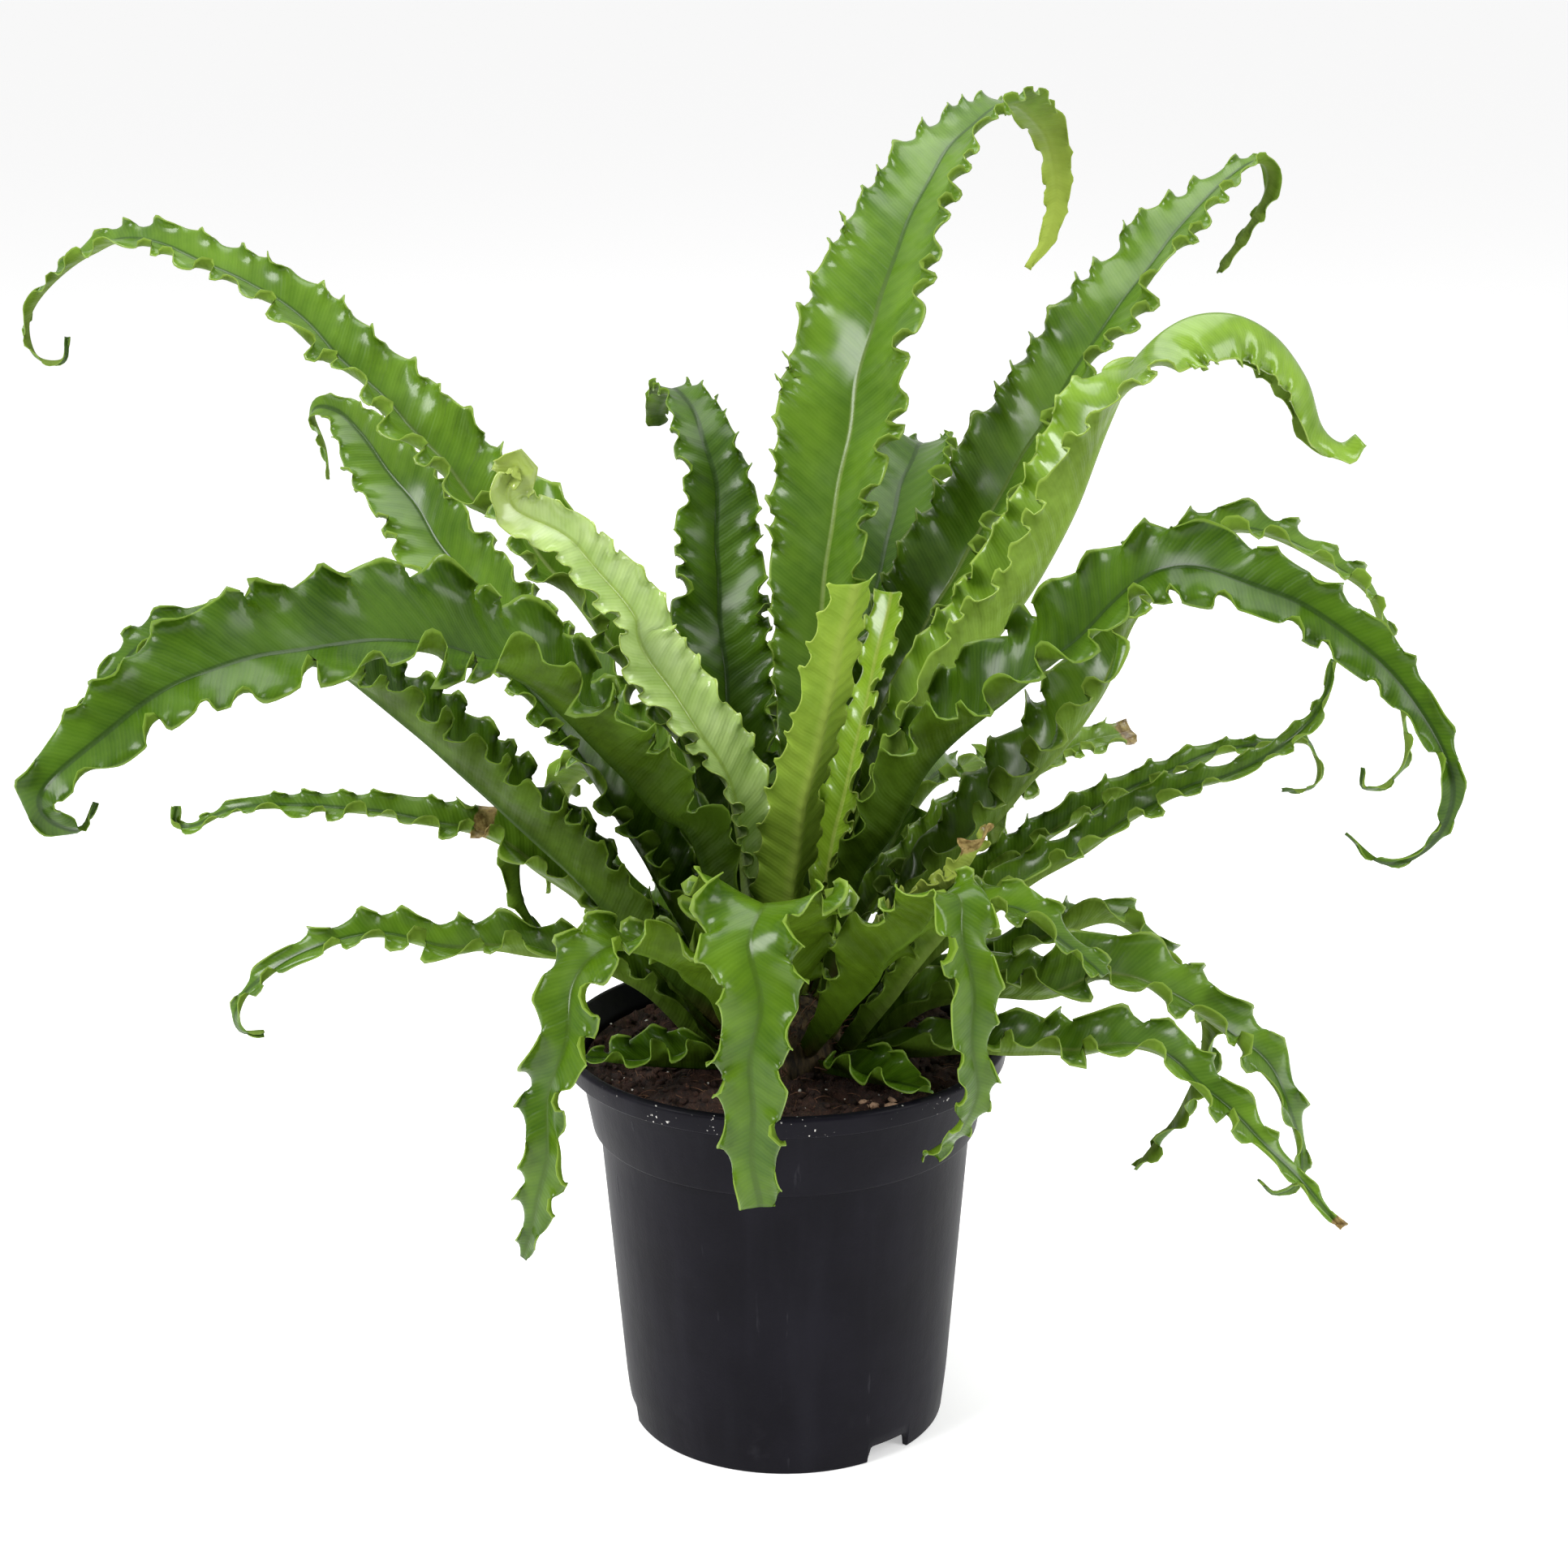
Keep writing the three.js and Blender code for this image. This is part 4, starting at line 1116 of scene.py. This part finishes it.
frond(
    "front_centre", heading=262, foot=(262, 28),
    widths=(3.5, 11, 23, 31, 29, 22, 17, 13.5, 12, 10, 6), ruffle=6.5, finish="front",
    fold=(50, 24, 14, 12, 10), pitch=17, curl=2.4, tooth=0.5, scallop=3.6, sway=3.5,
    wobble=16, slow=2.6,
    route=[
        (12, 176), (34, 208, 2), (60, 234, 4), (82, 238, 6), (97, 222, 7), (106, 160, 7),
        (103, 140, 8),
    ],
)
frond(
    "front_right", heading=300, foot=(295, 27),
    widths=(3.5, 8, 15, 20, 18, 13, 11, 9, 7, 5, 4), ruffle=4.5, finish="front",
    fold=(50, 26, 16, 12), pitch=17, curl=2.0, tooth=0.5, scallop=2.6, sway=2.5, wobble=10,
    route=[
        (65, 224, 6), (84, 240, 3), (95, 242, 4), (102, 228, 1), (108, 190, 2),
        (106, 174, 3), (96, 157, 3), (78, 142, 3),
    ],
)
frond(
    "low_front_left", heading=214, foot=(220, 8), half=15, ruffle=5, finish="dark",
    route=[
        (20, 153), (42, 159), (66, 166),
    ],
)
frond(
    "low_front_right", heading=306, foot=(306, 7), half=14, ruffle=5, finish="dark",
    route=[
        (20, 152), (42, 156), (64, 160),
    ],
)
frond(
    "stub_right", heading=330, foot=(313, 34),
    widths=(3.5, 5.5, 8, 10.5, 11.5, 11.5, 11, 10.5), ruffle=2.4, finish="olive",
    fold=(50, 40, 26, 20), pitch=9, pale_tip=0.5, wither=((1.0, 0.05),),
    route=[
        (12, 182, 3), (34, 211, 4), (56, 232, 3), (66, 247),
    ],
)
frond(
    "big_right", heading=335, foot=(327, 51),
    widths=(3.5, 6, 13.5, 21, 25, 24, 19, 15, 12, 9, 5, 2, 1), ruffle=6, finish="dark",
    fold=(50, 40, 16, 16), roll=(-5, 8, 46, 50, 45), pitch=19, curl=1.9, scallop=2.2,
    tooth=1.2, slow=2.4,
    route=[
        (14, 219), (29, 243, 1), (47, 274, 1), (94, 316, 3), (129, 348), (172, 343),
        (211, 319, 1), (232, 286), (227, 263, 2), (211, 253, 2), (197, 262, 1),
    ],
)
frond(
    "arch_right", heading=8, foot=(8, 44),
    widths=(3.5, 10, 17, 21, 22, 17, 13, 10, 7, 4, 2, 1), ruffle=5.5, finish="green",
    roll=(-5, 30), pitch=18, curl=2.0, scallop=2.2, slow=2.2, sway=1.5,
    route=[
        (42, 214), (95, 274, -2), (118, 317), (152, 344), (197, 324), (211, 304), (223, 258),
        (217, 243), (207, 241), (206, 249),
    ],
)
frond(
    "straight_right", heading=0, foot=(356, 24),
    widths=(3.5, 6, 10, 13, 12, 10, 9, 7, 5, 3, 1.5), ruffle=4, finish="green", roll=(0, 30),
    pitch=17, tooth=2.0, sway=1.5,
    route=[
        (43, 195), (115, 245), (142, 256), (165, 269), (176, 283), (180, 300),
    ],
)
frond(
    "hooked_right", heading=16, foot=(18, 22), widths=(3.5, 7, 10, 11, 10, 9, 7, 5, 3, 2, 1),
    ruffle=4, finish="green", roll=(0, 30), pitch=16, tooth=2.0, sway=1.5,
    route=[
        (50, 203, 1), (129, 244, -1), (182, 253, -2), (194, 245, -2), (194, 233, -1),
        (181, 232),
    ],
)
frond(
    "short_right", heading=30, foot=(38, 38), widths=(3.5, 8, 11, 11, 9, 5), ruffle=4,
    finish="light", roll=(0, 30), pitch=13, wither=((1.0, 0.04),),
    route=[
        (22, 198, 1), (44, 214), (65, 230, -2), (110, 248, -5), (138, 252, -6),
    ],
)
frond(
    "narrow_right", heading=328, foot=(328, 20), widths=(3.5, 6, 8, 9, 10, 11, 10, 6),
    ruffle=4, finish="green", pitch=16, sway=2,
    route=[
        (54, 217, -5), (70, 223, -5), (86, 220, -3), (111, 204, -4),
    ],
)
frond(
    "low_back_right", heading=10, foot=(6, 10), widths=(3.5, 8, 11, 10, 8, 8, 7, 3),
    ruffle=4.5, finish="green", roll=(0, 20), pitch=19, scallop=2.2, sway=2.5, wobble=14,
    route=[
        (33, 170), (56, 177), (102, 192), (137, 157), (142, 133), (132, 108), (116, 87),
    ],
)
frond(
    "low_right", heading=350, foot=(350, 8),
    widths=(3.5, 8, 16, 18, 17, 16, 13, 10, 7, 3, 1), ruffle=5, finish="green", roll=(5, 35),
    pitch=20, curl=1.8, scallop=2.4, sway=2.5, wobble=12, slow=2.2,
    route=[
        (32, 170), (75, 177), (99, 184), (120, 180), (160, 149), (171, 112), (163, 101, 1),
        (156, 106),
    ],
)
frond(
    "long_low_right", heading=332, foot=(332, 8),
    widths=(3.5, 8, 13, 15, 14, 13, 11, 9, 6, 3, 1.5), ruffle=4.5, finish="green",
    roll=(5, 25), pitch=18, scallop=2.2, sway=2.5, wobble=12, wither=((1.0, 0.02),),
    route=[
        (38, 159), (86, 167), (108, 174), (130, 172, 1), (149, 161), (197, 121),
    ],
)
frond(
    "small_right", heading=25, foot=(28, 6), half=12, ruffle=4, finish="green",
    route=[
        (50, 166), (72, 166), (92, 158), (102, 162),
    ],
)
frond(
    "young_centre", heading=300, foot=(290, 70),
    widths=(3.5, 8, 12, 13.5, 13.5, 12.5, 11.5, 11, 10.5, 9), ruffle=1.6, finish="young",
    fold=(30, 10), pitch=13, curl=1.0, tooth=1.8,
    route=[
        (5, 224, -3), (28, 298), (45, 340),
    ],
)
frond(
    "young_right", heading=36, foot=(14, 75), widths=(3.5, 4, 6.5, 9, 10, 9, 8, 8, 7),
    ruffle=2.0, finish="young", fold=(36, 10), pitch=11, tooth=1.2,
    route=[
        (19, 256, -6), (31, 292, -5), (43, 320),
    ],
)
frond(
    "back_tall", heading=96, foot=(104, 30), half=20, ruffle=5, finish="dark",
    route=[
        (60, 212), (100, 238), (145, 248), (185, 232), (206, 204),
    ],
)
frond(
    "back_arch_left", heading=124, foot=(124, 24), half=18, ruffle=5, finish="green",
    route=[
        (58, 205), (96, 226), (130, 218), (152, 188), (158, 160),
    ],
)
frond(
    "back_arch_right", heading=60, foot=(58, 24), half=18, ruffle=5, finish="green",
    route=[
        (58, 202), (96, 224), (132, 218), (155, 190), (162, 164),
    ],
)
frond(
    "back_low_left", heading=130, foot=(128, 10), half=14, ruffle=4, finish="green",
    route=[
        (50, 178), (78, 178), (98, 158), (108, 134),
    ],
)
frond(
    "back_low_centre", heading=102, foot=(102, 10), half=15, ruffle=4, finish="green",
    route=[
        (55, 181), (90, 186), (120, 168), (140, 136), (146, 110),
    ],
)
frond(
    "back_low_right", heading=72, foot=(76, 12), half=15, ruffle=4, finish="green",
    route=[
        (55, 180), (90, 184), (118, 165), (134, 135), (140, 112),
    ],
)
frond(
    "back_corner_right", heading=48, foot=(48, 8), half=13, ruffle=4, finish="green",
    route=[
        (52, 174), (80, 174), (100, 156), (110, 132),
    ],
)


# Sizes: the box round the solids and the box round the finished plant.
sizes = {"cad": np.array(cad_box).tolist(), "scene": np.array(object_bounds()).tolist()}
